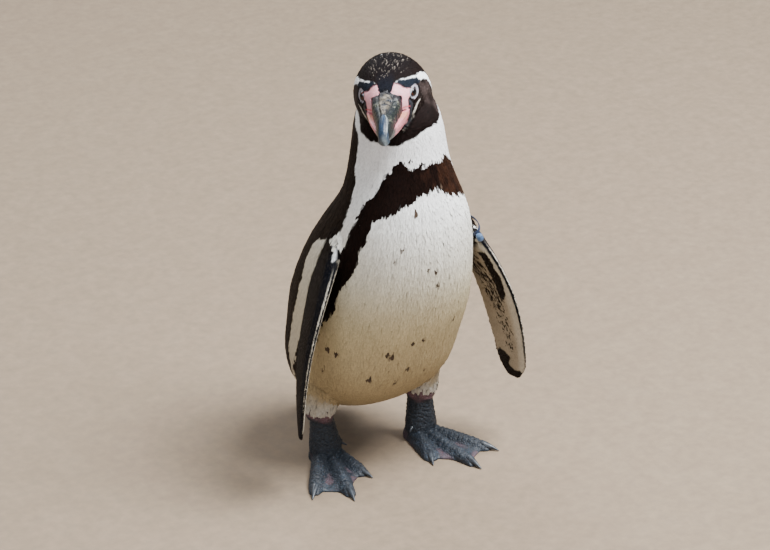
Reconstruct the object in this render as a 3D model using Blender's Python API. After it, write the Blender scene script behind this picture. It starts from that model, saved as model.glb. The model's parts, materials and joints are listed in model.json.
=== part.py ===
"""A Humboldt penguin standing at rest, life size, as one closed solid for each part of the body.

The bird faces -Y, its left side is +X and it stands on z = 0. Tables of stations are in
centimetres, measured from the point on the floor midway between the ankles, and the whole
bird is moved at the end so that the origin lies under the middle of its bounding box.
"""

import math

import bmesh
import bpy
from mathutils import Matrix, Vector

CM = 0.01
SEAM = 0.0003  # clearance between two pieces that meet

# Trunk and neck: height, breast line, back line, half width.
BODY = (
    (4.3, -3.6, 13.0, 8.2),
    (9.6, -6.8, 10.1, 8.35),
    (14.0, -8.5, 8.9, 8.4),
    (18.5, -10.2, 7.9, 8.6),
    (23.2, -11.3, 5.9, 8.0),
    (27.6, -11.5, 2.8, 7.1),
    (30.9, -11.0, 0.4, 5.8),
    (33.8, -10.0, 0.3, 4.75),
    (36.6, -9.3, 0.0, 4.3),
    (40.0, -8.7, -0.2, 3.95),
    (43.0, -8.4, -0.4, 3.8),
)
BELLY_HEIGHT = 4.3  # lowest point of the belly
BELLY_ROUND_TO = 13.5  # height where the rounding under the belly ends
NAPE_ROUND_FROM = 37.5  # height where the neck starts to close, inside the head
NAPE_HEIGHT = 43.0
NECK_CUT_HEIGHT = 31.6  # the neck and the trunk part here
BODY_SIDES = 36
BODY_RINGS = 30
BODY_SQUARENESS = 2.15  # 2 is an ellipse
BELLY_FULLNESS = 2.2

# Head, in its own frame: distance behind the bill's base, crown line, throat line, half width.
HEAD = (
    (-0.5, 0.1, -3.3, 1.6),
    (0.6, 0.55, -3.7, 2.2),
    (1.9, 1.2, -4.3, 2.95),
    (3.2, 1.75, -5.0, 3.4),
    (4.8, 1.95, -5.5, 3.75),
    (6.4, 1.5, -5.5, 3.6),
    (7.9, 0.2, -4.8, 3.0),
    (8.4, -0.4, -4.2, 2.7),
)
HEAD_SIDES = 28
CROWN_NARROWING = 0.15  # how much narrower than its middle the head is at the crown
HEAD_RINGS = 18
FACE_ROUND_TO = 0.6  # distance over which the face closes round the bill
OCCIPUT_ROUND_FROM = 5.2
OCCIPUT = 8.4
BILL_BASE_AT = Vector((-3.4, -7.5, 42.6))  # where the feathers end on the bill's ridge
HEAD_TURN = math.radians(-37.5)  # to the bird's right
HEAD_DROP = math.radians(4)
HEAD_TILT = math.radians(-7)
HEAD_SQUARENESS = 2.1  # 2 is an ellipse
FACE_CLOSING = 0.55  # how far the face's girth closes at its front
OCCIPUT_FULLNESS = 2.3

# Upper bill: distance forward, ridge line, cutting edge, half width.
UPPER_BILL = (
    (-0.9, 0.42, -1.75, 1.45),
    (0.0, 0.26, -1.7, 1.45),
    (1.4, -0.2, -1.72, 1.24),
    (2.8, -0.43, -1.8, 0.95),
    (3.9, -0.68, -1.95, 0.75),
    (4.8, -1.08, -2.08, 0.58),
    (5.45, -1.6, -2.3, 0.38),
    (5.8, -2.2, -2.45, 0.08),
)
# Lower bill: distance forward, upper edge, keel line, half width.
LOWER_BILL = (
    (-0.9, -1.82, -3.1, 1.95),
    (0.8, -1.78, -3.25, 1.84),
    (2.1, -1.82, -3.2, 1.47),
    (3.1, -1.92, -3.05, 1.07),
    (4.2, -2.02, -2.75, 0.66),
    (5.1, -2.2, -2.42, 0.26),
)
BILL_SIDES = 15
BILL_FLAT_SIDES = 3  # of these, on the mouth side
BILL_RINGS = 12
BILL_EDGE_GAP = 0.03
BILL_DOME = 0.85  # under 1 fills the dome out
BILL_SHOULDER = 0.7  # height of the upper bill's shoulders at its base, as a share
BILL_ROOFED_TO = 0.2  # the roof shape of the base turns into a dome from here
BILL_DOMED_FROM = 3.2
LOWER_BILL_FULLNESS = 0.72  # under 1 fills the flanks out

EYE_RADIUS = 0.66
EYE_BEHIND = 1.97
EYE_BELOW = 0.83
EYE_ASIDE = 2.05

# Flipper outline: share of its length, leading edge, trailing edge, half thickness.
FLIPPER = (
    (0.00, 1.6, -1.8, 0.80),
    (0.12, 2.5, -2.5, 0.72),
    (0.26, 3.2, -3.1, 0.56),
    (0.45, 3.3, -3.0, 0.42),
    (0.65, 2.8, -3.3, 0.32),
    (0.82, 2.1, -3.2, 0.25),
    (0.93, 1.4, -3.0, 0.20),
    (1.00, 0.0, -2.0, 0.15),
)
FLIPPER_SIDES = 16
FLIPPER_RINGS = 18
FLIPPER_LEAD_THICKER = 0.35  # share by which the blade is thicker towards its leading edge
FLIPPER_BOW = 1.0  # how far the blade bows towards its leading edge at mid length
LEFT_SHOULDER = Vector((5.8, -4.2, 28.0))
LEFT_TIP = Vector((13.4, -7.4, 7.4))
LEFT_EDGE = (math.radians(86), math.radians(84))  # heading of the leading edge, root and tip
LEFT_BEND = 0.8  # how far the blade arches outwards at mid length
RIGHT_SHOULDER = Vector((-5.5, -2.6, 28.2))
RIGHT_TIP = Vector((-12.3, -6.1, 7.3))
RIGHT_EDGE = (math.radians(106), math.radians(119))
RIGHT_BEND = 1.4

# Tail wedge: share of its length, half width, half thickness.
TAIL = (
    (0.0, 2.6, 1.6),
    (0.35, 2.4, 1.15),
    (0.7, 1.9, 0.55),
    (0.92, 1.3, 0.28),
    (1.0, 0.7, 0.18),
)
TAIL_ROOT = Vector((0.0, 7.0, 9.4))
TAIL_TIP = Vector((0.0, 11.4, 1.7))
TAIL_SIDES = 16
TAIL_RINGS = 9

# Feathered leg: height, half width, half depth, how far it stands inwards of the ankle.
LEG = (
    (11.6, 0.7, 0.9, 1.6),
    (10.9, 1.9, 2.2, 1.3),
    (9.6, 2.5, 2.8, 0.85),
    (7.4, 1.95, 2.35, 0.25),
    (5.8, 1.5, 1.85, 0.0),
    (4.9, 1.3, 1.6, 0.0),
)
LEG_SIDES = 18
LEG_BEHIND = 0.2  # how far behind the ankle the shin's axis stands
LEG_RINGS = 8

# Bare shank: height, half width, half depth, how far its middle lies behind the toes' root.
SHANK = (
    (6.4, 1.05, 1.2, 0.15),
    (4.4, 1.2, 1.4, 0.2),
    (3.0, 1.4, 1.5, 0.1),
    (1.8, 1.6, 1.55, 0.0),
    (0.7, 1.65, 1.5, 0.0),
)
SHANK_SIDES = 18
SHANK_RINGS = 7
LEFT_LEAN = 0.0
RIGHT_LEAN = -0.6
LEAN_CURVE = 1.5  # over 1 keeps the lean in the shank's upper part

# Toes: name, heading off the middle toe (towards the inner side), length to the claw from the
# ankle's axis, how far aside of it the toe's line starts, half width.
TOES = (
    ("inner", math.radians(30), 4.8, 0.95, 0.84),
    ("middle", math.radians(0), 7.7, 0.0, 0.78),
    ("outer", math.radians(-27), 7.05, -0.75, 0.78),
)
TOE_ROOT_AHEAD = 0.6  # where the toes' lines start
HEEL_RADIUS = 1.75
HEEL_BEHIND = 0.2
WEB_HOLLOW = 0.03  # how far the web's edge is drawn in between two toes
WEB_THICKNESS = 0.3
TOE_HEIGHT_ROOT = 1.5
TOE_HEIGHT_END = 0.85
TOE_ROOT_SPREAD = 1.25  # a toe's half width at its root, over that in the table
TOE_TAPER = 0.35
TOE_STEEPNESS = 1.1  # how fast a toe's back falls to the web
TOE_FULLNESS = 2.4
HEEL_DROP = 0.55  # how far the heel falls towards its rim
RIM_SHARPNESS = 7
RIM_THICKNESS = 0.14
FOOT_FRONT_STEPS = 34
FOOT_BACK_STEPS = 11
FOOT_RINGS = 7
RIM_CROWDING = 1.3  # over 1 sets the rings closer together towards the rim
FOOT_FAN = math.radians(58)  # the fan's half angle, past the outer and inner toes

CLAW_LENGTH = 2.1
CLAW_SUNK = 0.5  # how much of it lies inside the toe
CLAW_RADIUS = 0.4
CLAW_ROOT_HEIGHT = 0.55
CLAW_POINT_HEIGHT = 0.1
CLAW_SIDES = 8
CLAW_RINGS = 5
CLAW_CURVE = 1.7  # over 1 bends the claw down late
CLAW_TAPER = 1.4  # over 1 keeps the claw thick until late
CLAW_POINT_RADIUS = 0.05
HIND_TOE_ROOT = Vector((0.9, -0.1, 2.4))  # for the side whose inner side is +X
HIND_TOE_WAY = Vector((0.7, -0.3, -0.75))
HIND_TOE_LENGTH = 0.75
HIND_TOE_RADII = (0.42, 0.4, 0.24)
HIND_CLAW_SCALE = 0.45  # of the front claws
HIND_CLAW_DROP = 0.35

LEFT_ANKLE = Vector((5.4, -0.7, 0.0))
RIGHT_ANKLE = Vector((-5.3, 0.7, 0.0))
LEFT_FOOT_TURN = math.radians(8)  # toes outward
RIGHT_FOOT_TURN = math.radians(-14)

# Tag on the left flipper: a thin strip bent to a ring, with one bead on it.
BAND_SHARE = 0.13  # how far down the flipper it sits
BAND_CLEARANCE = 0.1
BAND_SLACK = 0.45  # how far the ring stands off the leading edge
BAND_TILT = 0.45  # rise of the ring's outer side, for each cm outwards
BAND_WIDTH = 0.26
BAND_THICKNESS = 0.1
BAND_SIDES = 32
BEAD_RADIUS = 0.34
BEAD_LENGTH = 0.75
BEAD_BARREL = ((0, 0.7), (0.2, 1), (0.8, 1), (1, 0.7))  # shares of its length and radius
BEAD_SIDES = 12
BEAD_CLEARANCE = 0.1
BEAD_BELOW = 0.3  # how far its middle hangs below the ring's
BEAD_ANGLE = math.radians(-14)  # place on the ring, from the leading edge to the inner side

# Colours, roughness and metallic value of each finish.
FINISHES = {
    "dark_plumage": ((0.035, 0.026, 0.022), 0.75, 0.0),
    "white_plumage": ((0.78, 0.74, 0.64), 0.8, 0.0),
    "horn": ((0.06, 0.065, 0.07), 0.35, 0.0),
    "flushed_skin": ((0.62, 0.33, 0.33), 0.5, 0.0),
    "foot_skin": ((0.045, 0.055, 0.075), 0.6, 0.0),
    "claw": ((0.1, 0.12, 0.14), 0.4, 0.0),
    "eye": ((0.03, 0.012, 0.006), 0.08, 0.0),
    "band": ((0.012, 0.016, 0.035), 0.35, 0.0),
    "bead": ((0.35, 0.55, 0.8), 0.3, 0.0),
}


def clear_scene():
    for obj in list(bpy.data.objects):
        bpy.data.objects.remove(obj, do_unlink=True)


def finish_material(name):
    """The Principled material of a finish, made once."""
    if name in bpy.data.materials:
        return bpy.data.materials[name]
    colour, roughness, metallic = FINISHES[name]
    material = bpy.data.materials.new(name)
    material.use_nodes = True
    shader = material.node_tree.nodes["Principled BSDF"]
    shader.inputs["Base Color"].default_value = (*colour, 1.0)
    shader.inputs["Roughness"].default_value = roughness
    shader.inputs["Metallic"].default_value = metallic
    return material


def stations(table, at):
    """The table's row at a place, by cubic interpolation that keeps to the rows' range."""
    low = 0
    while low < len(table) - 2 and (at - table[low + 1][0]) * (table[-1][0] - table[0][0]) > 0:
        low += 1
    start, end = table[low], table[low + 1]
    span = end[0] - start[0]
    share = min(1.0, max(0.0, (at - start[0]) / span))
    before = table[max(low - 1, 0)]
    after = table[min(low + 2, len(table) - 1)]
    row = []
    for column in range(1, len(start)):
        slope_in = slope(before, start, end, column) * span
        slope_out = slope(start, end, after, column) * span
        row.append(hermite(start[column], end[column], slope_in, slope_out, share))
    return row


def slope(before, here, after, column):
    """The tangent at a row, from its neighbours."""
    if after[0] == before[0]:
        return 0.0
    return (after[column] - before[column]) / (after[0] - before[0])


def hermite(start, end, slope_in, slope_out, share):
    square, cube = share**2, share**3
    return (
        (2 * cube - 3 * square + 1) * start
        + (cube - 2 * square + share) * slope_in
        + (3 * square - 2 * cube) * end
        + (cube - square) * slope_out
    )


def oval(angle, squareness):
    """(across, along) on a slightly squared unit oval, from straight ahead."""
    across, along = math.sin(angle), math.cos(angle)
    rounding = 2.0 / squareness
    return (
        math.copysign(abs(across) ** rounding, across),
        math.copysign(abs(along) ** rounding, along),
    )


def turns(count):
    return [2 * math.pi * step / count for step in range(count)]


def eased(count, low, high, ease_low=True, ease_high=True):
    """Count places from low to high, closer together at the ends that are eased."""
    places = []
    for step in range(count):
        share = step / (count - 1)
        if ease_low and ease_high:
            share = (1 - math.cos(math.pi * share)) / 2
        elif ease_low:
            share = 1 - math.cos(math.pi / 2 * share)
        elif ease_high:
            share = math.sin(math.pi / 2 * share)
        places.append(low + (high - low) * share)
    return places


def add_object(name, mesh_builder, finish):
    """Links a new object with the faces in the builder, turned to point outwards."""
    bmesh.ops.recalc_face_normals(mesh_builder, faces=mesh_builder.faces)
    mesh = bpy.data.meshes.new(name)
    mesh_builder.to_mesh(mesh)
    mesh_builder.free()
    obj = bpy.data.objects.new(name, mesh)
    bpy.context.scene.collection.objects.link(obj)
    mesh.materials.append(finish_material(finish))
    mesh.shade_smooth()
    return obj


def loft(name, rings, finish):
    """A closed skin over rings of points in centimetres; each end closes on its ring's middle."""
    builder = bmesh.new()
    rows = [[builder.verts.new(point * CM) for point in ring] for ring in rings]
    count = len(rows[0])
    for first, second in zip(rows, rows[1:]):
        for side in range(count):
            after = (side + 1) % count
            builder.faces.new((first[side], first[after], second[after], second[side]))
    for row in (rows[0], rows[-1]):
        middle = sum((vert.co for vert in row), Vector()) / count
        pole = builder.verts.new(middle)
        for side in range(count):
            builder.faces.new((row[side], row[(side + 1) % count], pole))
    return add_object(name, builder, finish)


def helper(obj):
    """Marks a cutter, which isn't part of the bird."""
    obj.hide_render = True
    obj.display_type = "WIRE"
    return obj


def cutter_of(obj, gap=SEAM):
    """A hidden copy of a form, swollen by the seam's clearance."""
    cutter = obj.copy()
    cutter.data = obj.data.copy()
    cutter.name = obj.name + "_cutter"
    bpy.context.scene.collection.objects.link(cutter)
    swell = cutter.modifiers.new("swell", "DISPLACE")
    swell.mid_level = 0.0
    swell.strength = gap
    return helper(cutter)


def cut_away(obj, cutter):
    """Takes the cutter's space out of the piece."""
    cut = obj.modifiers.new("cut_" + cutter.name, "BOOLEAN")
    cut.operation = "DIFFERENCE"
    cut.object = cutter
    cut.solver = "EXACT"


def join_to(obj, other):
    """Melts a helper form into the piece."""
    join = obj.modifiers.new("join_" + other.name, "BOOLEAN")
    join.operation = "UNION"
    join.object = helper(other)
    join.solver = "EXACT"


def keep_side(obj, height, above):
    """Trims a form at a height, keeping what lies above or below, and closes the cut."""
    builder = bmesh.new()
    builder.from_mesh(obj.data)
    bmesh.ops.bisect_plane(
        builder,
        geom=[*builder.verts, *builder.edges, *builder.faces],
        plane_co=(0, 0, height),
        plane_no=(0, 0, -1 if above else 1),
        clear_outer=True,
    )
    rim = [edge for edge in builder.edges if edge.is_boundary]
    bmesh.ops.contextual_create(builder, geom=rim)
    bmesh.ops.recalc_face_normals(builder, faces=builder.faces)
    builder.to_mesh(obj.data)
    builder.free()


def belly_closure(height):
    """Share of the full girth left at a height, for the rounding below and inside the head."""
    share = 1.0
    if height < BELLY_ROUND_TO:
        drop = (BELLY_ROUND_TO - height) / (BELLY_ROUND_TO - BELLY_HEIGHT)
        share *= math.sqrt(max(0.0, 1 - drop**BELLY_FULLNESS))
    if height > NAPE_ROUND_FROM:
        rise = (height - NAPE_ROUND_FROM) / (NAPE_HEIGHT - NAPE_ROUND_FROM)
        share *= math.sqrt(max(0.0, 1 - rise**2))
    return share


def body_ring(height):
    breast, back, half_width = stations(BODY, height)
    share = belly_closure(height)
    middle = (breast + back) / 2
    half_depth = (back - breast) / 2 * share
    ring = []
    for angle in turns(BODY_SIDES):
        across, along = oval(angle, BODY_SQUARENESS)
        ring.append(Vector((half_width * share * across, middle - half_depth * along, height)))
    return ring


def body_form(name, finish):
    """Trunk and neck in one."""
    heights = eased(BODY_RINGS, BELLY_HEIGHT + 0.03, NAPE_HEIGHT - 0.05)
    return loft(name, [body_ring(height) for height in heights], finish)


def head_frame():
    """From the head's frame (bill base at the origin, bill along -Y) to the bird's."""
    turned = (
        Matrix.Rotation(HEAD_TURN, 4, "Z")
        @ Matrix.Rotation(HEAD_DROP, 4, "X")
        @ Matrix.Rotation(HEAD_TILT, 4, "Y")
    )
    return Matrix.Translation(BILL_BASE_AT) @ turned


def head_ring(behind):
    crown, throat, half_width = stations(HEAD, behind)
    share = 1.0
    if behind < FACE_ROUND_TO:
        depth = (FACE_ROUND_TO - behind) / (FACE_ROUND_TO - HEAD[0][0])
        share *= math.sqrt(max(0.0, 1 - FACE_CLOSING * depth**2))
    if behind > OCCIPUT_ROUND_FROM:
        depth = (behind - OCCIPUT_ROUND_FROM) / (OCCIPUT - OCCIPUT_ROUND_FROM)
        share *= math.sqrt(max(0.0, 1 - depth**OCCIPUT_FULLNESS))
    middle, half_height = (crown + throat) / 2, (crown - throat) / 2 * share
    ring = []
    for angle in turns(HEAD_SIDES):
        across, along = oval(angle, HEAD_SQUARENESS)
        girth = half_width * share * (1 - CROWN_NARROWING * along)
        ring.append(Vector((girth * across, behind, middle + half_height * along)))
    return ring


def placed(ring, frame):
    return [frame @ point for point in ring]


def head_form():
    frame = head_frame()
    places = eased(HEAD_RINGS, HEAD[0][0], OCCIPUT - 0.03, ease_low=False)
    return loft("head", [placed(head_ring(place), frame) for place in places], "dark_plumage")


def dome(angle, fullness):
    """(across, rise) of a half round, from the right side over the ridge to the left."""
    across = math.cos(angle)
    return math.copysign(abs(across) ** fullness, across), math.sin(angle) ** BILL_DOME


def roof(angle):
    """(across, rise) of upright sides and a low roof, over the same angles."""
    share = 1 - abs(1 - 2 * angle / math.pi)
    side = 1 if angle < math.pi / 2 else -1
    if share < 0.5:
        return side, 2 * share * BILL_SHOULDER
    return side * 2 * (1 - share), BILL_SHOULDER + (1 - BILL_SHOULDER) * (2 * share - 1)


def bill_ring(table, forward, upper):
    """A section on a flat edge: the ridge side is roofed or domed, the mouth side flat."""
    line_a, line_b, half_width = stations(table, forward)
    flat, ridge = (line_b + BILL_EDGE_GAP, line_a) if upper else (line_a, line_b)
    domed = (forward - BILL_ROOFED_TO) / (BILL_DOMED_FROM - BILL_ROOFED_TO)
    domed = min(1.0, max(0.0, domed)) if upper else 1.0
    ring = []
    arc = BILL_SIDES - BILL_FLAT_SIDES
    for step in range(arc + 1):
        angle = math.pi * step / arc
        round_across, round_rise = dome(angle, 1.0 if upper else LOWER_BILL_FULLNESS)
        roof_across, roof_rise = roof(angle)
        across = roof_across + (round_across - roof_across) * domed
        rise = roof_rise + (round_rise - roof_rise) * domed
        ring.append(Vector((half_width * across, -forward, flat + (ridge - flat) * rise)))
    for step in range(1, BILL_FLAT_SIDES):
        share = step / BILL_FLAT_SIDES
        ring.append(Vector((half_width * (2 * share - 1), -forward, flat)))
    return ring


def bill_half(name, table, upper, head_cutter):
    frame = head_frame()
    places = eased(BILL_RINGS, table[0][0], table[-1][0], ease_low=False)
    rings = [placed(bill_ring(table, place, upper), frame) for place in places]
    half = loft(name, rings, "horn" if upper else "flushed_skin")
    cut_away(half, head_cutter)
    return half


def eye_ball(name, side):
    """A whole eyeball, most of it sunk in its socket."""
    builder = bmesh.new()
    centre = head_frame() @ Vector((side * EYE_ASIDE, EYE_BEHIND, -EYE_BELOW))
    place = Matrix.Translation(centre * CM) @ head_frame().to_3x3().to_4x4()
    bmesh.ops.create_uvsphere(
        builder, u_segments=14, v_segments=8, radius=EYE_RADIUS * CM,
        matrix=place @ Matrix.Rotation(math.pi / 2, 4, "Y"),
    )
    return add_object(name, builder, "eye")


def flipper_frame(root, tip, edge_heading):
    """Span along -Z, leading edge along +X; headings are taken from +X towards -Y."""
    down = (tip - root).normalized()
    edge = Vector((math.cos(edge_heading), -math.sin(edge_heading), 0.0))
    edge = (edge - down * edge.dot(down)).normalized()
    outward = edge.cross(down)
    frame = Matrix((edge, outward, -down)).transposed().to_4x4()
    frame.translation = root
    return frame


def flipper_point(pose, share, along, across):
    """A point of the blade: share of its length, cm towards the leading edge, cm outwards."""
    root, tip, (root_heading, tip_heading), bend = pose
    frame = flipper_frame(root, tip, root_heading + (tip_heading - root_heading) * share)
    # The blade's outer face is away from the body.
    outer = 1 if (frame.to_3x3() @ Vector((0, 1, 0))).x * root.x > 0 else -1
    arch = bend * math.sin(math.pi * share)
    down = (tip - root).length * share
    return frame @ Vector((along, outer * (across + arch), -down))


def flipper_chord(share):
    """Middle of the chord, half of it and half the thickness at a share of the length."""
    lead, trail, half_thick = stations(FLIPPER, share)
    middle = (lead + trail) / 2 + FLIPPER_BOW * (math.sin(math.pi * share) - share / 2)
    return middle, (lead - trail) / 2, half_thick


def flipper_ring(pose, share):
    """The blade's section: rounded at the leading edge, thin at the trailing one."""
    middle, half_chord, half_thick = flipper_chord(share)
    ring = []
    for angle in turns(FLIPPER_SIDES):
        along, across = math.cos(angle), math.sin(angle)
        thick = half_thick * (1.0 + FLIPPER_LEAD_THICKER * along)
        ring.append(flipper_point(pose, share, middle + half_chord * along, thick * across))
    return ring


def flipper(side_name, pose, body_cutter):
    shares = eased(FLIPPER_RINGS, 0.0, 1.0, ease_low=False)
    rings = [flipper_ring(pose, share) for share in shares]
    blade = loft("flipper_" + side_name, rings, "dark_plumage")
    cut_away(blade, body_cutter)
    return blade


def tail(body_cutter):
    """A short stiff wedge of feathers, flattened from above."""
    run = TAIL_TIP - TAIL_ROOT
    along = run.normalized()
    across = Vector((1, 0, 0))
    rings = []
    for share in eased(TAIL_RINGS, 0.0, 1.0, ease_low=False):
        half_width, half_thick = stations(TAIL, share)
        middle = TAIL_ROOT + run * share
        ring = []
        for angle in turns(TAIL_SIDES):
            aside = across * half_width * math.sin(angle)
            lift = across.cross(along) * half_thick * math.cos(angle)
            ring.append(middle + aside + lift)
        rings.append(ring)
    wedge = loft("tail", rings, "dark_plumage")
    cut_away(wedge, body_cutter)
    return wedge


def leg(side_name, ankle, turn, lean, body_cutter):
    """The feathered shin that shows between the belly and the bare shank."""
    inner = -1 if side_name == "left" else 1
    frame = Matrix.Translation(ankle) @ Matrix.Rotation(turn, 4, "Z")
    rings = []
    for height in eased(LEG_RINGS, LEG[0][0], LEG[-1][0], ease_low=False, ease_high=False):
        half_width, half_depth, inwards = stations(LEG, height)
        middle = Vector((lean + inner * inwards, LEG_BEHIND, height))
        ring = [
            middle + Vector((half_width * math.sin(angle), -half_depth * math.cos(angle), 0))
            for angle in turns(LEG_SIDES)
        ]
        rings.append(placed(ring, frame))
    shin = loft("leg_" + side_name, rings, "white_plumage")
    whole_cutter = cutter_of(shin)
    cut_away(shin, body_cutter)
    return whole_cutter


def fan_angles():
    """Headings round the foot, close together across the toes and wider apart behind."""
    front = [
        -FOOT_FAN + 2 * FOOT_FAN * step / FOOT_FRONT_STEPS for step in range(FOOT_FRONT_STEPS + 1)
    ]
    rest = 2 * math.pi - 2 * FOOT_FAN
    back = [FOOT_FAN + rest * step / FOOT_BACK_STEPS for step in range(1, FOOT_BACK_STEPS)]
    return front + back


def heading_vector(heading):
    """Along the floor; heading 0 is straight ahead and the inner side is +X."""
    return Vector((math.sin(heading), -math.cos(heading)))


def toe_lines():
    """Root, end and half width of every toe, seen from above."""
    lines = []
    for _, heading, length, aside, half_width in TOES:
        lines.append((Vector((aside, -TOE_ROOT_AHEAD)), heading_vector(heading) * length, half_width))
    return lines


def along_line(point, root, end):
    """Share of the line next to the point, and the point's distance from it."""
    run = end - root
    share = min(1.0, max(0.0, (point - root).dot(run) / run.length_squared))
    return share, (point - root - run * share).length


def on_web(point, lines):
    """Whether the point lies between two toes and short of the web's hollow edge."""
    for (root_a, end_a, _), (root_b, end_b, _) in zip(lines, lines[1:]):
        side_a = (end_a - root_a).cross(point - root_a)
        side_b = (end_b - root_b).cross(point - root_b)
        if side_a * side_b > 0:
            continue
        share, _ = along_line(point, end_a, end_b)
        edge = end_a.lerp(end_b, share)
        if point.dot(edge) > 0 and point.length < edge.length * (1 - WEB_HOLLOW * math.sin(math.pi * share)):
            return True
    return False


def on_foot(point, lines):
    if (point - Vector((0, HEEL_BEHIND))).length < HEEL_RADIUS:
        return True
    for root, end, half_width in lines:
        share, distance = along_line(point, root, end)
        if distance < half_width * (TOE_ROOT_SPREAD - TOE_TAPER * share):
            return True
    return on_web(point, lines)


def outline_reach(heading, lines):
    """How far the foot's outline lies from the ankle's axis at a heading."""
    reach = 10.0
    while not on_foot(heading_vector(heading) * reach, lines):
        reach -= 0.04
    return reach


def foot_height(point, rim, lines):
    """Height of the foot's upper side: the web, a ridge over each toe, lower at the rim."""
    top = WEB_THICKNESS
    for root, end, half_width in lines:
        share, distance = along_line(point, root, end)
        ridge = TOE_HEIGHT_ROOT + (TOE_HEIGHT_END - TOE_HEIGHT_ROOT) * share
        top = max(top, WEB_THICKNESS + (ridge - WEB_THICKNESS) * math.exp(
            -TOE_STEEPNESS * (distance / half_width) ** TOE_FULLNESS
        ))
    heel = (point - Vector((0, HEEL_BEHIND))).length / HEEL_RADIUS
    if heel < 1:
        top = max(top, TOE_HEIGHT_ROOT * math.sqrt(1 - HEEL_DROP * heel**2))
    return top * math.sqrt(max(0.0, 1 - rim**RIM_SHARPNESS)) + RIM_THICKNESS * rim**RIM_SHARPNESS


def foot_pad(name):
    """Web, toes and heel as a fan of points round the ankle, flat underneath."""
    builder = bmesh.new()
    lines = toe_lines()
    angles = fan_angles()
    reaches = [outline_reach(heading, lines) for heading in angles]
    shares = [1 - (1 - step / FOOT_RINGS) ** RIM_CROWDING for step in range(1, FOOT_RINGS + 1)]
    hub = builder.verts.new(Vector((0, 0, TOE_HEIGHT_ROOT * CM)))
    rows = []
    for share in shares:
        row = []
        for heading, reach in zip(angles, reaches):
            point = heading_vector(heading) * reach * share
            height = foot_height(point, share, lines)
            row.append(builder.verts.new(Vector((point.x, point.y, height)) * CM))
        rows.append(row)
    count = len(angles)
    for side in range(count):
        builder.faces.new((hub, rows[0][side], rows[0][(side + 1) % count]))
    for first, second in zip(rows, rows[1:]):
        for side in range(count):
            after = (side + 1) % count
            builder.faces.new((first[side], second[side], second[after], first[after]))
    sole = [builder.verts.new(Vector((vert.co.x, vert.co.y, 0))) for vert in rows[-1]]
    for side in range(count):
        after = (side + 1) % count
        builder.faces.new((rows[-1][side], sole[side], sole[after], rows[-1][after]))
    builder.faces.new(sole)
    return add_object(name, builder, "foot_skin")


def shank_form(name, lean):
    """The bare shank; lean is how far its top stands aside of the ankle."""
    rings = []
    top = SHANK[0][0]
    for height in eased(SHANK_RINGS, top, SHANK[-1][0], ease_low=False, ease_high=False):
        half_width, half_depth, behind = stations(SHANK, height)
        middle = Vector((lean * (height / top) ** LEAN_CURVE, behind, height))
        rings.append([
            middle + Vector((half_width * math.sin(angle), -half_depth * math.cos(angle), 0))
            for angle in turns(SHANK_SIDES)
        ])
    return loft(name, rings, "foot_skin")


def tapered(name, path, radii, sides, finish):
    """A round tapering form along a path, as for a toe or a claw."""
    rings = []
    for index, (centre, radius) in enumerate(zip(path, radii)):
        ahead = path[min(index + 1, len(path) - 1)] - path[max(index - 1, 0)]
        along = ahead.normalized()
        across = along.cross(Vector((0, 0, 1))).normalized()
        up = across.cross(along)
        rings.append([
            centre + (across * math.sin(angle) + up * math.cos(angle)) * radius
            for angle in turns(sides)
        ])
    return loft(name, rings, finish)


def claw(name, root, heading, frame, scale, foot_cutter, drop):
    """A curved point that grows out of a toe and bends down to the floor."""
    ahead = heading_vector(heading).to_3d()
    path, radii = [], []
    for step in range(CLAW_RINGS):
        share = step / (CLAW_RINGS - 1)
        place = root + ahead * (CLAW_LENGTH * share - CLAW_SUNK) * scale
        place.z = root.z - drop * share**CLAW_CURVE
        path.append(frame @ place)
        radii.append(CLAW_RADIUS * scale * (1 - share**CLAW_TAPER) + CLAW_POINT_RADIUS)
    nail = tapered(name, path, radii, CLAW_SIDES, "claw")
    cut_away(nail, foot_cutter)
    return nail


def foot(side_name, ankle, turn, lean, leg_cutter):
    """Shank, toes and web of one side, with its four claws."""
    inner = -1 if side_name == "left" else 1
    frame = Matrix.Translation(ankle) @ Matrix.Rotation(turn, 4, "Z")
    pad = foot_pad("foot_" + side_name)
    if inner < 0:
        pad.data.transform(Matrix.Diagonal((-1, 1, 1, 1)))
        pad.data.flip_normals()
    shank = shank_form("shank_" + side_name, lean)
    mirror = Vector((inner, 1, 1))
    hind_root = HIND_TOE_ROOT * mirror
    hind_end = hind_root + HIND_TOE_WAY * mirror * HIND_TOE_LENGTH
    hind_path = [hind_root.lerp(hind_end, share) for share in (0, 0.5, 1.0)]
    hind = tapered("hind_" + side_name, hind_path, HIND_TOE_RADII, CLAW_SIDES, "foot_skin")
    in_metres = frame.copy()
    in_metres.translation *= CM
    for form in (pad, shank, hind):
        form.data.transform(in_metres)
    join_to(pad, shank)
    join_to(pad, hind)
    cut_away(pad, leg_cutter)
    freeze(pad)
    pad_cutter = cutter_of(pad)
    drop = CLAW_ROOT_HEIGHT - CLAW_POINT_HEIGHT
    for toe_name, heading, length, _, _ in TOES:
        root = heading_vector(inner * heading).to_3d() * length
        root.z = CLAW_ROOT_HEIGHT
        claw(f"claw_{side_name}_{toe_name}", root, inner * heading, frame, 1.0, pad_cutter, drop)
    hind_heading = math.atan2(inner * HIND_TOE_WAY.x, -HIND_TOE_WAY.y)
    claw(
        f"claw_{side_name}_hind", hind_end, hind_heading, frame, HIND_CLAW_SCALE, pad_cutter, HIND_CLAW_DROP
    )
    return pad


def freeze(obj):
    """Applies the modifiers of a piece, so that its copy can serve as a cutter."""
    bpy.context.view_layer.update()
    graph = bpy.context.evaluated_depsgraph_get()
    mesh = bpy.data.meshes.new_from_object(obj.evaluated_get(graph))
    obj.modifiers.clear()
    obj.data = mesh


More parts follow.
